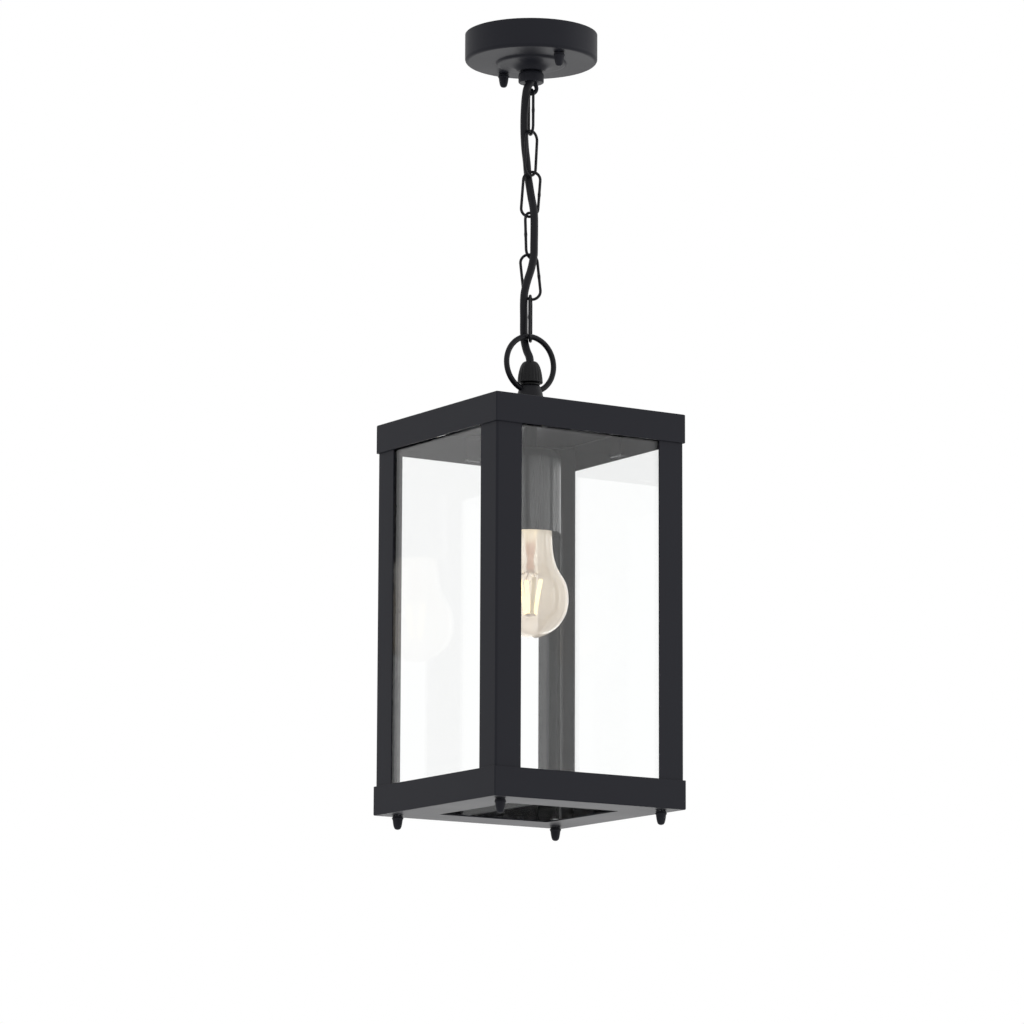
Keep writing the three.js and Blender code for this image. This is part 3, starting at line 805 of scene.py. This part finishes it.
def make_tray():
    low, painted_rim_shade = TRAY_LOW.z, TRAY_HIGH.z
    hole, cut = TRAY_OPENING, OPENING_CORNER
    return folded("bottom_tray_sheet", [
        (hole, cut, low + NICK), (hole + NICK, cut, low),
        *fold_outline(low, 1),
        (HALF, CORNER, painted_rim_shade - NICK), (HALF - NICK, CORNER, painted_rim_shade),
        (INNER + NICK, INNER_CORNER, painted_rim_shade), (INNER, INNER_CORNER, painted_rim_shade - NICK),
        (INNER, INNER_CORNER, low + SHEET + NICK), (INNER - NICK, INNER_CORNER, low + SHEET),
        (hole + NICK, cut, low + SHEET), (hole, cut, low + SHEET - NICK),
    ])


dress(make_cap(), powder_coat, "lantern", ["top_cap"])
dress(make_tray(), powder_coat, "lantern", ["bottom_tray"])
print(f"cap skirt {CAP_SKIRT / MM:.0f} mm, tray opening {2 * TRAY_OPENING / MM:.0f} mm")

# %% [markdown]
# ## Corner posts
# Each post is an angle bent from sheet, with a foot tab folded in at the bottom for its screw.
# The bend's outside radius is what catches the light along the whole upright, so the section is
# drawn as an outline with a true radius and pulled up in one length.

# %% Corner posts
POST_LEG = 22 * MM
BEND_R = 1.7 * MM
TAB_INSET = 0.2 * MM


def angle_section(out, leg):
    """The closed outline of a bent angle whose corner is at (-out, -out)."""
    centre = (-out + BEND_R, -out + BEND_R)
    return [
        (-out + leg, -out), *arc(centre, BEND_R, 270, 180, 6), (-out, -out + leg),
        (-out + POST_SHEET, -out + leg), *arc(centre, BEND_R - POST_SHEET, 180, 270, 4),
        (-out + leg, -out + POST_SHEET),
    ]


def make_post(name, quarter):
    low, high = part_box("corner_post_front_left")
    angle = pulled_up(name, angle_section(-low.x, POST_LEG), low.z, high.z)
    x, y = (edge + POST_SHEET - TAB_INSET for edge in (low.x, low.y))
    end = low.x + POST_LEG
    outline = [(x, y), (end, y), (end, end), (x, end)]
    tab = pulled_up(name + "_tab", outline, low.z, low.z + POST_SHEET)
    post = together(name, ease_edges(angle, 0.12 * MM), ease_edges(tab, 0.15 * MM))
    post.data.transform(Matrix.Rotation(quarter * QUARTER_TURN, 4, "Z"))
    return post


for quarter, corner in enumerate(CORNERS):
    post = make_post(f"corner_angle_{corner}", quarter)
    dress(post, powder_coat, "lantern", [f"corner_post_{corner}"])
post_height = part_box("corner_post_front_left")[1].z - TRAY_LOW.z
print("4 corner angles,", round(post_height / MM), "mm tall")

# %% [markdown]
# ## Cap nuts and foot screws
# The little pegs under the tray are tapered cap nuts with a collar. They are turned from brass
# bar, so a lathe outline with a rolled collar and a domed tip is the honest way to make them.

# %% Cap nuts
CAP_NUT = [
    (0, -7.0), (2.15, -7.0), (2.2, -0.35), (2.6, -0.3), (3.6, -0.3), (3.9, -0.5), (4.0, -0.9),
    (3.75, -1.4), (3.75, -1.6), (4.25, -1.8), (4.4, -2.3), (4.3, -2.9), (3.85, -3.4),
    (3.65, -5.0), (3.3, -7.2), (2.9, -8.9), (2.45, -9.9), (1.75, -10.6), (0.9, -10.92), (0, -11.0),
]


def make_cap_nut(name, node, body):
    """A cap nut from its hole to its tip, hanging where its CAD node hangs."""
    low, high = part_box(node)
    centre = ((low.x + high.x) / 2, (low.y + high.y) / 2)
    top = high.z + LAYING_GAP
    outline = [(r * MM, top + z * MM) for r, z in CAP_NUT]
    dress(turned(name, outline, sides=32, centre=centre), powder_coat, body, [node])


for corner in CORNERS:
    make_cap_nut(f"tray_cap_nut_{corner}", f"cap_nut_{corner}", "lantern")
for side in ("front", "back"):
    make_cap_nut(f"ceiling_cap_nut_{side}", f"canopy_cap_nut_{side}", "canopy")
redress(zinc, *[f"foot_screw_{corner}" for corner in CORNERS])
print("6 cap nuts turned")

# %% [markdown]
# ## Panes and clips
# Each pane is three millimetres of float glass with its edges arrised, which is a tiny ground
# chamfer. The clips are spring strip, bent over the pane's top edge. Both start as a plain
# section and get their edges eased, since it is the edges that show.

# %% Panes and clips
CLIP_STRIP, CLIP_BEND = 0.8 * MM, 2.0 * MM
CLIP_KINK, CLIP_KICK = 1.5 * MM, 1.0 * MM
CLIP_SHORT = 0.5 * MM


def clip_section(low, high):
    """Spring strip as (y, z): up inside the pane, round a bend and along the cap's underside."""
    face, top, end = low.y, high.z, high.y - CLIP_SHORT
    kink = low.z + CLIP_KINK
    centre = (face + CLIP_BEND, top - CLIP_BEND)
    inside = arc(centre, CLIP_BEND - CLIP_STRIP, 180, 90, 5)
    return [
        (face + CLIP_KICK, low.z), (face, kink), *arc(centre, CLIP_BEND, 180, 90, 5), (end, top),
        (end, top - CLIP_STRIP), *reversed(inside), (face + CLIP_STRIP, kink),
        (face + CLIP_KICK + CLIP_STRIP, low.z),
    ]


def make_clip(name, quarter):
    low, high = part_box("glass_clip_front")
    rows = [[(x, y, z) for y, z in clip_section(low, high)] for x in (low.x, high.x)]
    clip = ease_edges(from_rows(name, rows, capped=True), 0.1 * MM, 1)
    clip.data.transform(Matrix.Rotation(quarter * QUARTER_TURN, 4, "Z"))
    return clip


for quarter, side in enumerate(SIDES):
    pane = ease_edges(block(f"pane_{side}", *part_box(f"glass_pane_{side}")), 0.35 * MM, 1)
    dress(pane, pane_glass, "lantern", [f"glass_pane_{side}"])
    dress(make_clip(f"pane_clip_{side}", quarter), dark_zinc, "lantern", [f"glass_clip_{side}"])
pane_low, pane_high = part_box("glass_pane_front")
print("4 panes of", [round(v / MM) for v in pane_high - pane_low], "mm")

# %% [markdown]
# ## Hanging ring and cable gland
# The ring is bent from thick wire, and its two ends are brazed into a turned cone that stands
# on the cap. They stop inside the cone's wall, which leaves the middle free for the flex. The
# gland on top of the cone squeezes a rubber seal round the flex. Its nut is a dome with fine
# grip ribs on the lower part, so the lathe's radius is varied a little with the angle.

# %% Ring and gland
RING_R, RING_WIRE = 21.35 * MM, 2.15 * MM
RING_MIDDLE = above_cap(43.5)
RING_END = 18
GLAND_RIBS = 22
GLAND_RIB_DEPTH = 0.42 * MM
RING_CONE = [
    (5.3, 0.3), (14.6, 0.3), (14.95, 0.5), (15.0, 0.9), (15.0, 1.9), (14.7, 2.4), (13.6, 4.6),
    (12.6, 8.2), (11.5, 12.6), (10.4, 17.0), (9.6, 20.6), (8.6, 23.8), (7.75, 25.9),
    (7.3, 26.35), (5.3, 26.4),
]
GLAND_NUT = [
    (3.35, 44.2), (3.6, 45.0), (4.1, 45.2), (4.9, 45.0), (5.8, 44.3), (6.7, 43.0), (7.5, 41.4),
    (8.15, 39.4), (8.75, 37.0), (9.2, 34.6), (9.5, 32.2), (9.65, 30.0), (9.7, 29.5),
    (9.7, 28.9), (9.4, 28.5), (8.9, 28.4), (5.8, 28.4), (5.8, 40.0), (3.35, 42.0),
]
GLAND_BODY = [(3.3, 26.75), (7.0, 26.75), (7.4, 26.95), (7.4, 27.9), (7.1, 28.1), (3.3, 28.1)]


def make_hanging_ring():
    first, last = math.radians(-90 + RING_END), math.radians(270 - RING_END)
    line = []
    for i in range(91):
        a = first + (last - first) * i / 90
        line.append(Vector((RING_R * math.cos(a), 0, RING_MIDDLE + RING_R * math.sin(a))))
    ring = wire("ring_wire", line, RING_WIRE, sides=20, lift=(0, 1, 0))
    foot = turned("ring_cone", from_drawing(RING_CONE), sides=72)
    return together("hanging_ring_and_cone", ring, foot)


def gland_rib(angle, radius, z):
    """Extra radius of the gland nut's grip ribs, fading out over the dome."""
    low, fade = above_cap(29.6), above_cap(41.5)
    if radius < 6.3 * MM or z < low or z > fade:
        return 0
    share = min(1, (fade - z) / (5 * MM))
    return -GLAND_RIB_DEPTH * share * (0.5 + 0.5 * math.cos(GLAND_RIBS * angle)) ** 2


def make_gland_nut():
    outline = from_drawing(GLAND_NUT)
    return turned("gland_dome_nut", outline, sides=GLAND_RIBS * 8, wobble=gland_rib)


def make_gland_body():
    return turned("gland_neck", from_drawing(GLAND_BODY), sides=48)


dress(make_hanging_ring(), wire_paint, "lantern", ["hanging_ring"])
dress(make_gland_nut(), nylon, "lantern", ["gland_nut"])
dress(make_gland_body(), nylon, "lantern", ["gland_body"])
redress(rubber, "gland_seal")
redress(powder_coat, "threaded_tube", "threaded_tube_nut")
print(f"ring {2 * (RING_R + RING_WIRE) / MM:.1f} mm across outside")

# %% [markdown]
# ## Chain
# A link starts as a cut length of wire, is bent to an oval and butt welded in the middle of
# one long side, which leaves a small bead. Each link is placed by its CAD node: its middle is
# the node's middle, and its facing and lean are the ones that the CAD chain was laid out with.

# %% Chain links
WEAVE_TURN = math.radians(-33.2)
LINK_FACING = [95, 0, 125, 0, 130, 75]
LINK_LEAN = [0, -6, 3, 4, -4, 0]
LINKS = len(LINK_FACING)
LINK_WIRE = 1.1 * MM
LINK_BEND = 6.5 * MM
LINK_REACH = 35.25 * MM
LINK_LOOP = 90 * MM
WELD_BEAD, WELD_SPREAD = 0.22 * MM, 1.1 * MM


def link_line(steps=28, straight=10):
    """The closed centre line of an oval link, from the middle of its right side."""
    half = LINK_REACH / 2 - LINK_BEND
    shares = [i / straight for i in range(straight)]
    line = []
    for sign in (1, -1):
        line += [Vector((LINK_BEND * sign, 0, half * sign * t)) for t in shares]
        for i in range(steps + 1):
            a = math.pi * i / steps
            z = sign * (half + LINK_BEND * math.sin(a))
            line.append(Vector((LINK_BEND * sign * math.cos(a), 0, z)))
        line += [Vector((-LINK_BEND * sign, 0, half * sign * (1 - t))) for t in shares[1:]]
    return line


def bead(share):
    """The wire's radius round the loop, with the weld's bead at the start and end."""
    away = min(share, 1 - share) * LINK_LOOP
    return LINK_WIRE + WELD_BEAD * math.exp(-((away / WELD_SPREAD) ** 2))


def make_link(number):
    low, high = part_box(f"chain_link_{number}")
    name = f"oval_link_{number}"
    link = wire(name, link_line(), bead, sides=14, closed=True, lift=(0, 1, 0))
    facing = Matrix.Rotation(WEAVE_TURN - math.radians(LINK_FACING[number - 1]), 4, "Z")
    lean = Matrix.Rotation(math.radians(LINK_LEAN[number - 1]), 4, "Y")
    link.data.transform(Matrix.Translation((0, 0, (low.z + high.z) / 2)) @ facing @ lean)
    return link


for number in range(1, LINKS + 1):
    dress(make_link(number), wire_paint, f"link_{number}", [f"chain_link_{number}"])
print("6 links,", round((LINK_REACH + 2 * LINK_WIRE) / MM, 2), "mm long")

# %% [markdown]
# ## The flex
# One cable runs from the terminal block to the lampholder, in and out of the chain. Where the
# lantern swings, the cable bends at every link, so it is made in seven stretches that meet at
# the middle of each link.

# %% Flex
CEILING_DROP = -CAP_TOP / MM
FLEX_ROUTE = [
    (0, 0, CEILING_DROP - 15.4), (0, 0, CEILING_DROP - 21), (0, 0.5, 275), (0, 2.8, 269.5),
    (-0.4, 5.3, 264), (-3.0, 6.2, 258.5), (-4.2, 4.9, 252), (-4.9, 2.2, 243), (-5.2, 0.2, 234),
    (-5.1, -1.0, 225), (-4.4, -2.9, 213), (-3.2, -4.4, 203), (-2.3, -5.1, 193),
    (-0.8, -2.8, 182.5), (0.6, 0.8, 173), (2.0, 3.9, 165), (2.7, 4.9, 158), (2.8, 4.9, 146),
    (2.7, 5.0, 136), (2.5, 5.1, 127), (0.6, 5.0, 117), (-2.4, 5.0, 107), (-4.5, 4.8, 98),
    (-5.0, 3.4, 90), (-4.9, 0.4, 79), (-4.9, -2.6, 70), (-4.5, -4.2, 63), (-2.8, -3.0, 55),
    (-0.6, -0.7, 49), (0, 0, 44), (0, 0, 30), (0, 0, 0), (0, 0, -30), (0, 0, -47),
]
FLEX_SIDES = 20


def weave(across, toward, height):
    """A point given across and toward the weave's corner, at a height above the cap."""
    c, s = math.cos(WEAVE_TURN), math.sin(WEAVE_TURN)
    return Vector(((across * c + toward * s) * MM, (across * s - toward * c) * MM, above_cap(height)))


def smooth_line(points, steps=10):
    """A centripetal Catmull-Rom curve through the points."""
    padded = [points[0] * 2 - points[1], *points, points[-1] * 2 - points[-2]]
    line = []
    for p0, p1, p2, p3 in zip(padded, padded[1:], padded[2:], padded[3:]):
        d0, d1, d2 = ((b - a).length ** 0.5 for a, b in ((p0, p1), (p1, p2), (p2, p3)))
        t1 = ((p1 - p0) / d0 - (p2 - p0) / (d0 + d1) + (p2 - p1) / d1) * d1
        t2 = ((p2 - p1) / d1 - (p3 - p1) / (d1 + d2) + (p3 - p2) / d2) * d1
        for i in range(steps):
            t = i / steps
            square = (p2 * 3 - p1 * 3 - t1 * 2 - t2) * t ** 2
            cubic = (p1 * 2 - p2 * 2 + t1 + t2) * t ** 3
            line.append(p1 + t1 * t + square + cubic)
    return line + [points[-1]]


def stretch_between(line, high, low):
    """The part of a falling line between two heights, with its ends cut exactly there."""
    def at(z):
        after = next(i for i, p in enumerate(line) if p.z <= z)
        a, b = line[after - 1], line[after]
        return a.lerp(b, (a.z - z) / (a.z - b.z))
    inside = [p for p in line if low + 0.4 * MM < p.z < high - 0.4 * MM]
    return [at(high), *inside, at(low)]


flex_line = smooth_line([weave(*p) for p in FLEX_ROUTE])
flex_length = sum((b - a).length for a, b in zip(flex_line, flex_line[1:]))
link_boxes = [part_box(f"chain_link_{n}") for n in range(LINKS, 0, -1)]
link_middles = [sum(corner.z for corner in box) / 2 for box in link_boxes]
flex_cuts = [flex_line[0].z - 0.01 * MM, *link_middles, flex_line[-1].z + 0.01 * MM]


def make_flex(number):
    """One stretch of flex, cut from the line between two heights: its ends or links' middles."""
    line = stretch_between(flex_line, flex_cuts[number - 1], flex_cuts[number])
    piece = wire(f"flex_stretch_{number}", line, FLEX_R, sides=FLEX_SIDES, lift=(0, 1, 0))
    dress(piece, jacket)
    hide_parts(f"flex_{number}")
    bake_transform(piece)
    return piece


flex = [make_flex(number) for number in range(1, LINKS + 2)]
print(f"flex {flex_length:.3f} m long in {len(flex)} stretches")

# %% [markdown]
# ## Canopy and loop
# The canopy is a spun steel cup with a raised ring and a boss in its middle. Spinning leaves
# soft radii everywhere, so the outline turns each corner with an arc. Below it hangs the loop:
# a collar with a hole for the flex, and an eye that the first link hangs on.

# %% Canopy cover
CANOPY_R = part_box("canopy_cover")[1].x
CANOPY_SHEET = 1.2 * MM
COVER_DEPTH = 22 * MM
COVER_FACE = [
    (28.6, 0), (27.5, 0.15), (26.9, 0.7), (26.3, 1.35), (25.4, 1.75), (24.2, 1.9), (22.4, 2.0),
    (19.0, 2.15), (16.0, 2.5), (13.6, 3.3), (12.0, 4.5), (11.0, 5.7), (10.2, 6.7), (9.2, 7.0),
    (5.5, 7.0),
]


def cover_skin(inset):
    """The cover's outline from rim to centre hole, moved inwards by the sheet's thickness."""
    r = CANOPY_R - inset
    shoulder = 3 * MM - min(inset, CANOPY_SHEET)
    face = -COVER_DEPTH + inset
    bend = arc((r - shoulder, face + shoulder), shoulder, 0, -90, 8)
    return [(r, 0.0), *bend, *[(radius * MM, face - drop * MM) for radius, drop in COVER_FACE]]


def make_cover():
    return turned("canopy_spun_cover", cover_skin(0) + cover_skin(CANOPY_SHEET)[::-1], sides=120)


dress(make_cover(), powder_coat, "canopy", ["canopy_cover"])
redress(zinc, "canopy_stud_front", "canopy_stud_back", "canopy_loop_nut")
redress(white_plastic, "terminal_block")
print(f"canopy {2 * CANOPY_R / MM:.0f} mm across")

# %% [markdown]
# ## Loop and ceiling bar
# The loop is a small casting: a stub that passes through the canopy's boss, a collar with a
# slanting hole for the flex, and the eye. A lathe outline makes the collar, and a boolean
# carves the flex's way out of it, because that hole crosses the round skin at an angle that
# no lathe outline can follow. The ceiling bar is flat strip with two round-ended slots.

# %% Loop and bracket
EYE_R, EYE_WIRE, EYE_FACING = 4.3 * MM, 1.6 * MM, -15
EYE_DROP = 3.9 * MM
COLLAR_LOW = -38 * MM
FLEX_ROOM = 0.65 * MM
COLLAR = [
    (0, -18), (4.9, -18), (5.2, -18.3), (5.2, -29.3), (7.2, -29.3), (8.3, -29.6), (9.2, -30.3),
    (9.65, -31.2), (9.8, -32.4), (9.8, -37.0), (9.6, -37.6), (9.1, -37.95), (0, -38),
]
SLOT_MIDDLE, SLOT_HALF, SLOT_STRAIGHT = 20 * MM, 2.5 * MM, 2.5 * MM


def make_loop():
    line = [Vector((EYE_R * math.cos(a), 0, EYE_R * math.sin(a))) for a in round_angles(48)]
    eye = wire("loop_eye", line, EYE_WIRE, sides=16, closed=True, lift=(0, 1, 0))
    facing = Matrix.Rotation(WEAVE_TURN - math.radians(EYE_FACING), 4, "Z")
    eye.data.transform(Matrix.Translation((0, 0, COLLAR_LOW - EYE_DROP)) @ facing)
    collar = turned("loop_collar", [(r * MM, z * MM) for r, z in COLLAR], sides=64)
    way = [p for p in flex_line if p.z > COLLAR_LOW - 5 * MM]
    carve(collar, wire("flex_way", way, FLEX_R + FLEX_ROOM, sides=24))
    return together("chain_loop_casting", collar, eye)


def slot_cutter(middle, low, high):
    """A round-ended bar along Y, a little taller than the plate that it cuts."""
    outline = []
    for a in round_angles(24, shift=0.5):
        end = middle + (SLOT_STRAIGHT if math.sin(a) >= 0 else -SLOT_STRAIGHT)
        outline.append((SLOT_HALF * math.cos(a), end + SLOT_HALF * math.sin(a)))
    return pulled_up("slot_cutter", outline, low - 1 * MM, high + 1 * MM)


def make_bracket():
    low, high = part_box("ceiling_bracket")
    plate = ease_edges(block("ceiling_bar", low, high), 0.3 * MM, 2)
    for middle in (SLOT_MIDDLE, -SLOT_MIDDLE):
        carve(plate, slot_cutter(middle, low.z, high.z))
    return plate


dress(make_loop(), powder_coat, "canopy", ["canopy_loop"])
dress(make_bracket(), zinc, "canopy", ["ceiling_bracket"])
print("loop and bracket made")

# %% [markdown]
# ## Lampholder
# A painted steel sleeve with a rounded shoulder hides a porcelain lampholder. From below one
# looks up between sleeve and bulb, so the porcelain and the brass screw shell are there too.

# %% Lampholder
SLEEVE_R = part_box("holder_sleeve")[1].x
SLEEVE_TOP, SLEEVE_LOW = above_cap(-24), above_cap(-88)
SLEEVE_SHOULDER, SLEEVE_LIP = 8.0 * MM, 0.35 * MM
PORCELAIN = [
    (3.6, -34), (18.0, -34), (20.6, -35), (21.6, -37.4), (21.6, -78.4), (21.0, -79.4),
    (19.8, -79.7), (16.2, -79.7), (15.0, -79.2), (14.4, -78.2), (14.3, -57.4), (0, -57.4),
    (0, -48), (3.6, -48),
]


def sleeve_outline():
    """Over the shoulder, down to a rounded lip and back up inside."""
    centre = (SLEEVE_R - SLEEVE_SHOULDER, SLEEVE_TOP - SLEEVE_SHOULDER)
    return [
        (TUBE_HOLE, SLEEVE_TOP), *arc(centre, SLEEVE_SHOULDER, 90, 0, 10),
        (SLEEVE_R, SLEEVE_LOW + SLEEVE_LIP), (SLEEVE_R - SLEEVE_LIP, SLEEVE_LOW),
        (SLEEVE_R - SHEET, SLEEVE_LOW), *arc(centre, SLEEVE_SHOULDER - SHEET, 0, 90, 8),
        (TUBE_HOLE, SLEEVE_TOP - SHEET),
    ]


sleeve = turned("holder_sleeve_shell", sleeve_outline(), sides=96)
insert = turned("porcelain_body", from_drawing(PORCELAIN), sides=72)
dress(sleeve, sleeve_enamel, "lantern", ["holder_sleeve"])
dress(insert, porcelain, "lantern", ["holder_insert"])
redress(brass, "holder_screw_shell")
redress(zinc, "holder_nut")
print(f"sleeve {2 * SLEEVE_R / MM:.0f} mm across")

# %% [markdown]
# ## Bulb
# A clear filament lamp: a blown pear of thin glass, a pressed glass stem and four straight
# sticks of phosphor-coated chips strung on a steel wire frame. The glass needs real thickness,
# with an inner skin, or it would act as a solid lens and swell whatever is inside.

# %% Bulb
BULB_R = 29.0 * MM
BULB_WIDEST = above_cap(-138.6)
BULB_WALL = 0.7 * MM
NECK = [(12.7, -80.3), (13.4, -81.6), (14.8, -83.0), (15.8, -84.4)]
SIDE_STEPS, DOME_STEPS = 22, 24


def bulb_skin(inset):
    """The glass from its neck round to the tip, moved inwards by inset."""
    r = BULB_R - inset
    a, b, c, d = (Vector(p) for p in (
        (16.4 * MM - inset, above_cap(-86)), (16.0 * MM - inset, above_cap(-125)),
        (r, above_cap(-115)), (r, BULB_WIDEST)))
    side = []
    for i in range(SIDE_STEPS):
        t = i / SIDE_STEPS
        p = a * (1 - t) ** 3 + b * 3 * t * (1 - t) ** 2 + c * 3 * t ** 2 * (1 - t) + d * t ** 3
        side.append((p.x, p.y))
    neck = [(radius - inset, z) for radius, z in from_drawing(NECK)]
    dome = arc((0, BULB_WIDEST), r, 0, -90, DOME_STEPS)[:-1]
    return [*neck, *side, *dome, (0, BULB_WIDEST - r)]


def make_blown_glass():
    return turned("bulb_blown_glass", bulb_skin(0) + bulb_skin(BULB_WALL)[::-1], sides=96)


print("bulb outline ready,", len(bulb_skin(0)), "points a side")

# %% [markdown]
# The screw cap's thread is turned as plain rings, with eight points of the outline to each. A
# real thread climbs, but inside the holder that can't be seen, and a lathe can make rings.

# %% Screw cap and stem
THREAD_PITCH, THREAD_TURNS = 3.6, 4
THREAD_R, THREAD_DEPTH = 12.4, 0.45
STEM = [
    (0, -77), (3.1, -77), (4.6, -78.6), (9.2, -80.9), (9.4, -81.4), (8.8, -82.4), (6.6, -85.2),
    (5.0, -89.5), (4.2, -95), (3.6, -101), (2.7, -106), (2.4, -109.5), (2.9, -111.6),
    (3.5, -113.2), (3.4, -114.6), (2.6, -115.7), (1.4, -116.0), (0, -116.0),
]


def make_screw_cap():
    outline = [(0, -58), (3.2, -58), (3.6, -58.3), (5.2, -59.0), (9.4, -61.2)]
    for i in range(THREAD_TURNS * 8):
        z = -63.2 - THREAD_PITCH * i / 8
        outline.append((THREAD_R + THREAD_DEPTH * math.cos(FULL_TURN * i / 8), z))
    outline += [(12.9, -78.6), (12.9, -80.0), (12.3, -80.0), (11.9, -64.0), (0, -64.0)]
    return turned("bulb_screw_cap", from_drawing(outline), sides=64)


def make_stem():
    return turned("bulb_pinched_stem", from_drawing(STEM), sides=32)


dress(make_blown_glass(), bulb_glass, "bulb", ["bulb_glass"])
dress(make_screw_cap(), brass, "bulb", ["bulb_cap"])
dress(make_stem(), stem_glass, "bulb", ["bulb_stem"])
bulb_drop = (CAP_TOP - BULB_WIDEST + BULB_R) / MM
print(f"bulb {2 * BULB_R / MM:.0f} mm across, tip {bulb_drop:.0f} mm below the cap's top")

# %% [markdown]
# ## Filament
# Each stick is a glass strip with a row of chips under yellow phosphor. Two copper-plated
# wires leave the stem, and the sticks hang between a hub above and a hoop below. The sticks
# and the wires are separate objects, since they have separate finishes. One stick gets a
# painted-shade copy of the phosphor, with its glow turned down, so that it reads as the
# darker one behind the three that glow.

# %% Filament
STICK_TOP, STICK_LOW = above_cap(-122.2), above_cap(-149.9)
STICK_TOP_R, STICK_LOW_R = 8.6 * MM, 3.4 * MM
STICK_R, LEAD_R, HOOP_WIRE = 1.6 * MM, 0.4 * MM, 0.7 * MM
FILAMENT_TURN = math.radians(20)
HUB_TOP = above_cap(-116.3)
HUB = [(0, 0), (2.8, 0), (3.4, -0.5), (3.4, -1.2), (2.8, -1.6), (0, -1.6)]
LEAD = [(0.8, -0.5), (3.2, -1.2), (7.0, -3.2), (8.5, -4.9)]


def around(radius, z, turn):
    a = WEAVE_TURN + FILAMENT_TURN + turn
    return Vector((radius * math.cos(a), radius * math.sin(a), z))


def make_stick(number):
    """One filament stick: a round bar with slightly domed ends."""
    turn = number * QUARTER_TURN
    top, low = around(STICK_TOP_R, STICK_TOP, turn), around(STICK_LOW_R, STICK_LOW, turn)
    line = [top.lerp(low, t) for t in (0, 0.01, 0.03, 0.25, 0.5, 0.75, 0.97, 0.99, 1)]
    sizes = [0.35, 0.8, 1, 1, 1, 1, 1, 0.8, 0.35]

    def radius(share):
        return STICK_R * sizes[round(share * len(sizes))]

    return wire(f"stick_{number}", line, radius, sides=16)


def make_leads():
    """The hub, four bent wires to the sticks' tops and the hoop round their feet."""
    pieces = [turned("hub", [(r * MM, HUB_TOP + z * MM) for r, z in HUB], sides=24)]
    for number in range(4):
        turn = number * QUARTER_TURN
        bend = [around(r * MM, HUB_TOP + z * MM, turn) for r, z in LEAD]
        bend.append(around(STICK_TOP_R, STICK_TOP + 0.1 * MM, turn))
        pieces.append(wire(f"lead_{number}", smooth_line(bend, 5), LEAD_R, sides=8))
    hoop = [around(STICK_LOW_R, STICK_LOW, a) for a in round_angles(32)]
    pieces.append(wire("hoop", hoop, HOOP_WIRE, sides=10, closed=True, lift=(0, 0, 1)))
    return together("filament_wire_frame", *pieces)


lit_sticks = together("lit_filament_sticks", *[make_stick(number) for number in (0, 1, 2)])
dress(lit_sticks, phosphor, "bulb", ["bulb_filament"])
# Painted shade: this stick's phosphor glows less, so it reads as the shaded one.
dress(make_stick(3), painted_shade_phosphor, "bulb", ["bulb_filament"])
dress(make_leads(), copper_wire, "bulb", ["bulb_filament"])
print("4 filament sticks on their wire frame")

# %% [markdown]
# ## Studio
# A black object on white needs its surroundings more than it needs lamps: its shape is read
# from what it reflects. So the studio is an even white room over a pale floor. One soft lamp
# lifts the faces on the right, and a large low one behind puts a sheen on the undersides.

# %% Studio
FLOOR_Z = -4.1
FLOOR_HALF = 30.0
ROOM_LIGHT = 1.0


def make_floor():
    """A wide pale floor, far below the lantern."""
    lip, middle = 0.02, 0.01
    floor = folded("studio_floor", [
        (FLOOR_HALF, 0.5, FLOOR_Z), (FLOOR_HALF, 0.5, FLOOR_Z - lip),
        (middle, middle, FLOOR_Z - lip), (middle, middle, FLOOR_Z)])
    paint = Finish("pale_floor", "floor")
    mottle = paint.noise(3, detail=4)
    paint.shade(
        base_color=paint.mix(mottle, (0.80, 0.80, 0.80, 1), (0.84, 0.84, 0.84, 1)),
        roughness=0.7 + 0.1 * mottle,
    )
    dress(floor, paint)


def make_room():
    world = bpy.data.worlds.new("white_room")
    bpy.context.scene.world = world
    world.use_nodes = True
    background = world.node_tree.nodes["Background"]
    background.inputs["Color"].default_value = (1, 1, 1, 1)
    background.inputs["Strength"].default_value = ROOM_LIGHT


def make_lamp(name, place, target, size, power):
    lamp = bpy.data.objects.new(name, bpy.data.lights.new(name, "AREA"))
    bpy.context.scene.collection.objects.link(lamp)
    lamp.data.shape = "SQUARE"
    lamp.data.size = size
    lamp.data.energy = power
    lamp.location = place
    lamp.visible_camera = False
    lamp.rotation_euler = (Vector(target) - Vector(place)).to_track_quat("-Z", "Y").to_euler()


make_floor()
make_room()
make_lamp("right_soft_lamp", (2.4, -1.6, -0.2), (0, 0, -0.45), 1.6, 14)
make_lamp("low_back_lamp", (1.5, 2.3, -1.7), (0, 0, -0.45), 2.2, 18)
bpy.context.scene.view_settings.view_transform = "Standard"
print("studio ready")
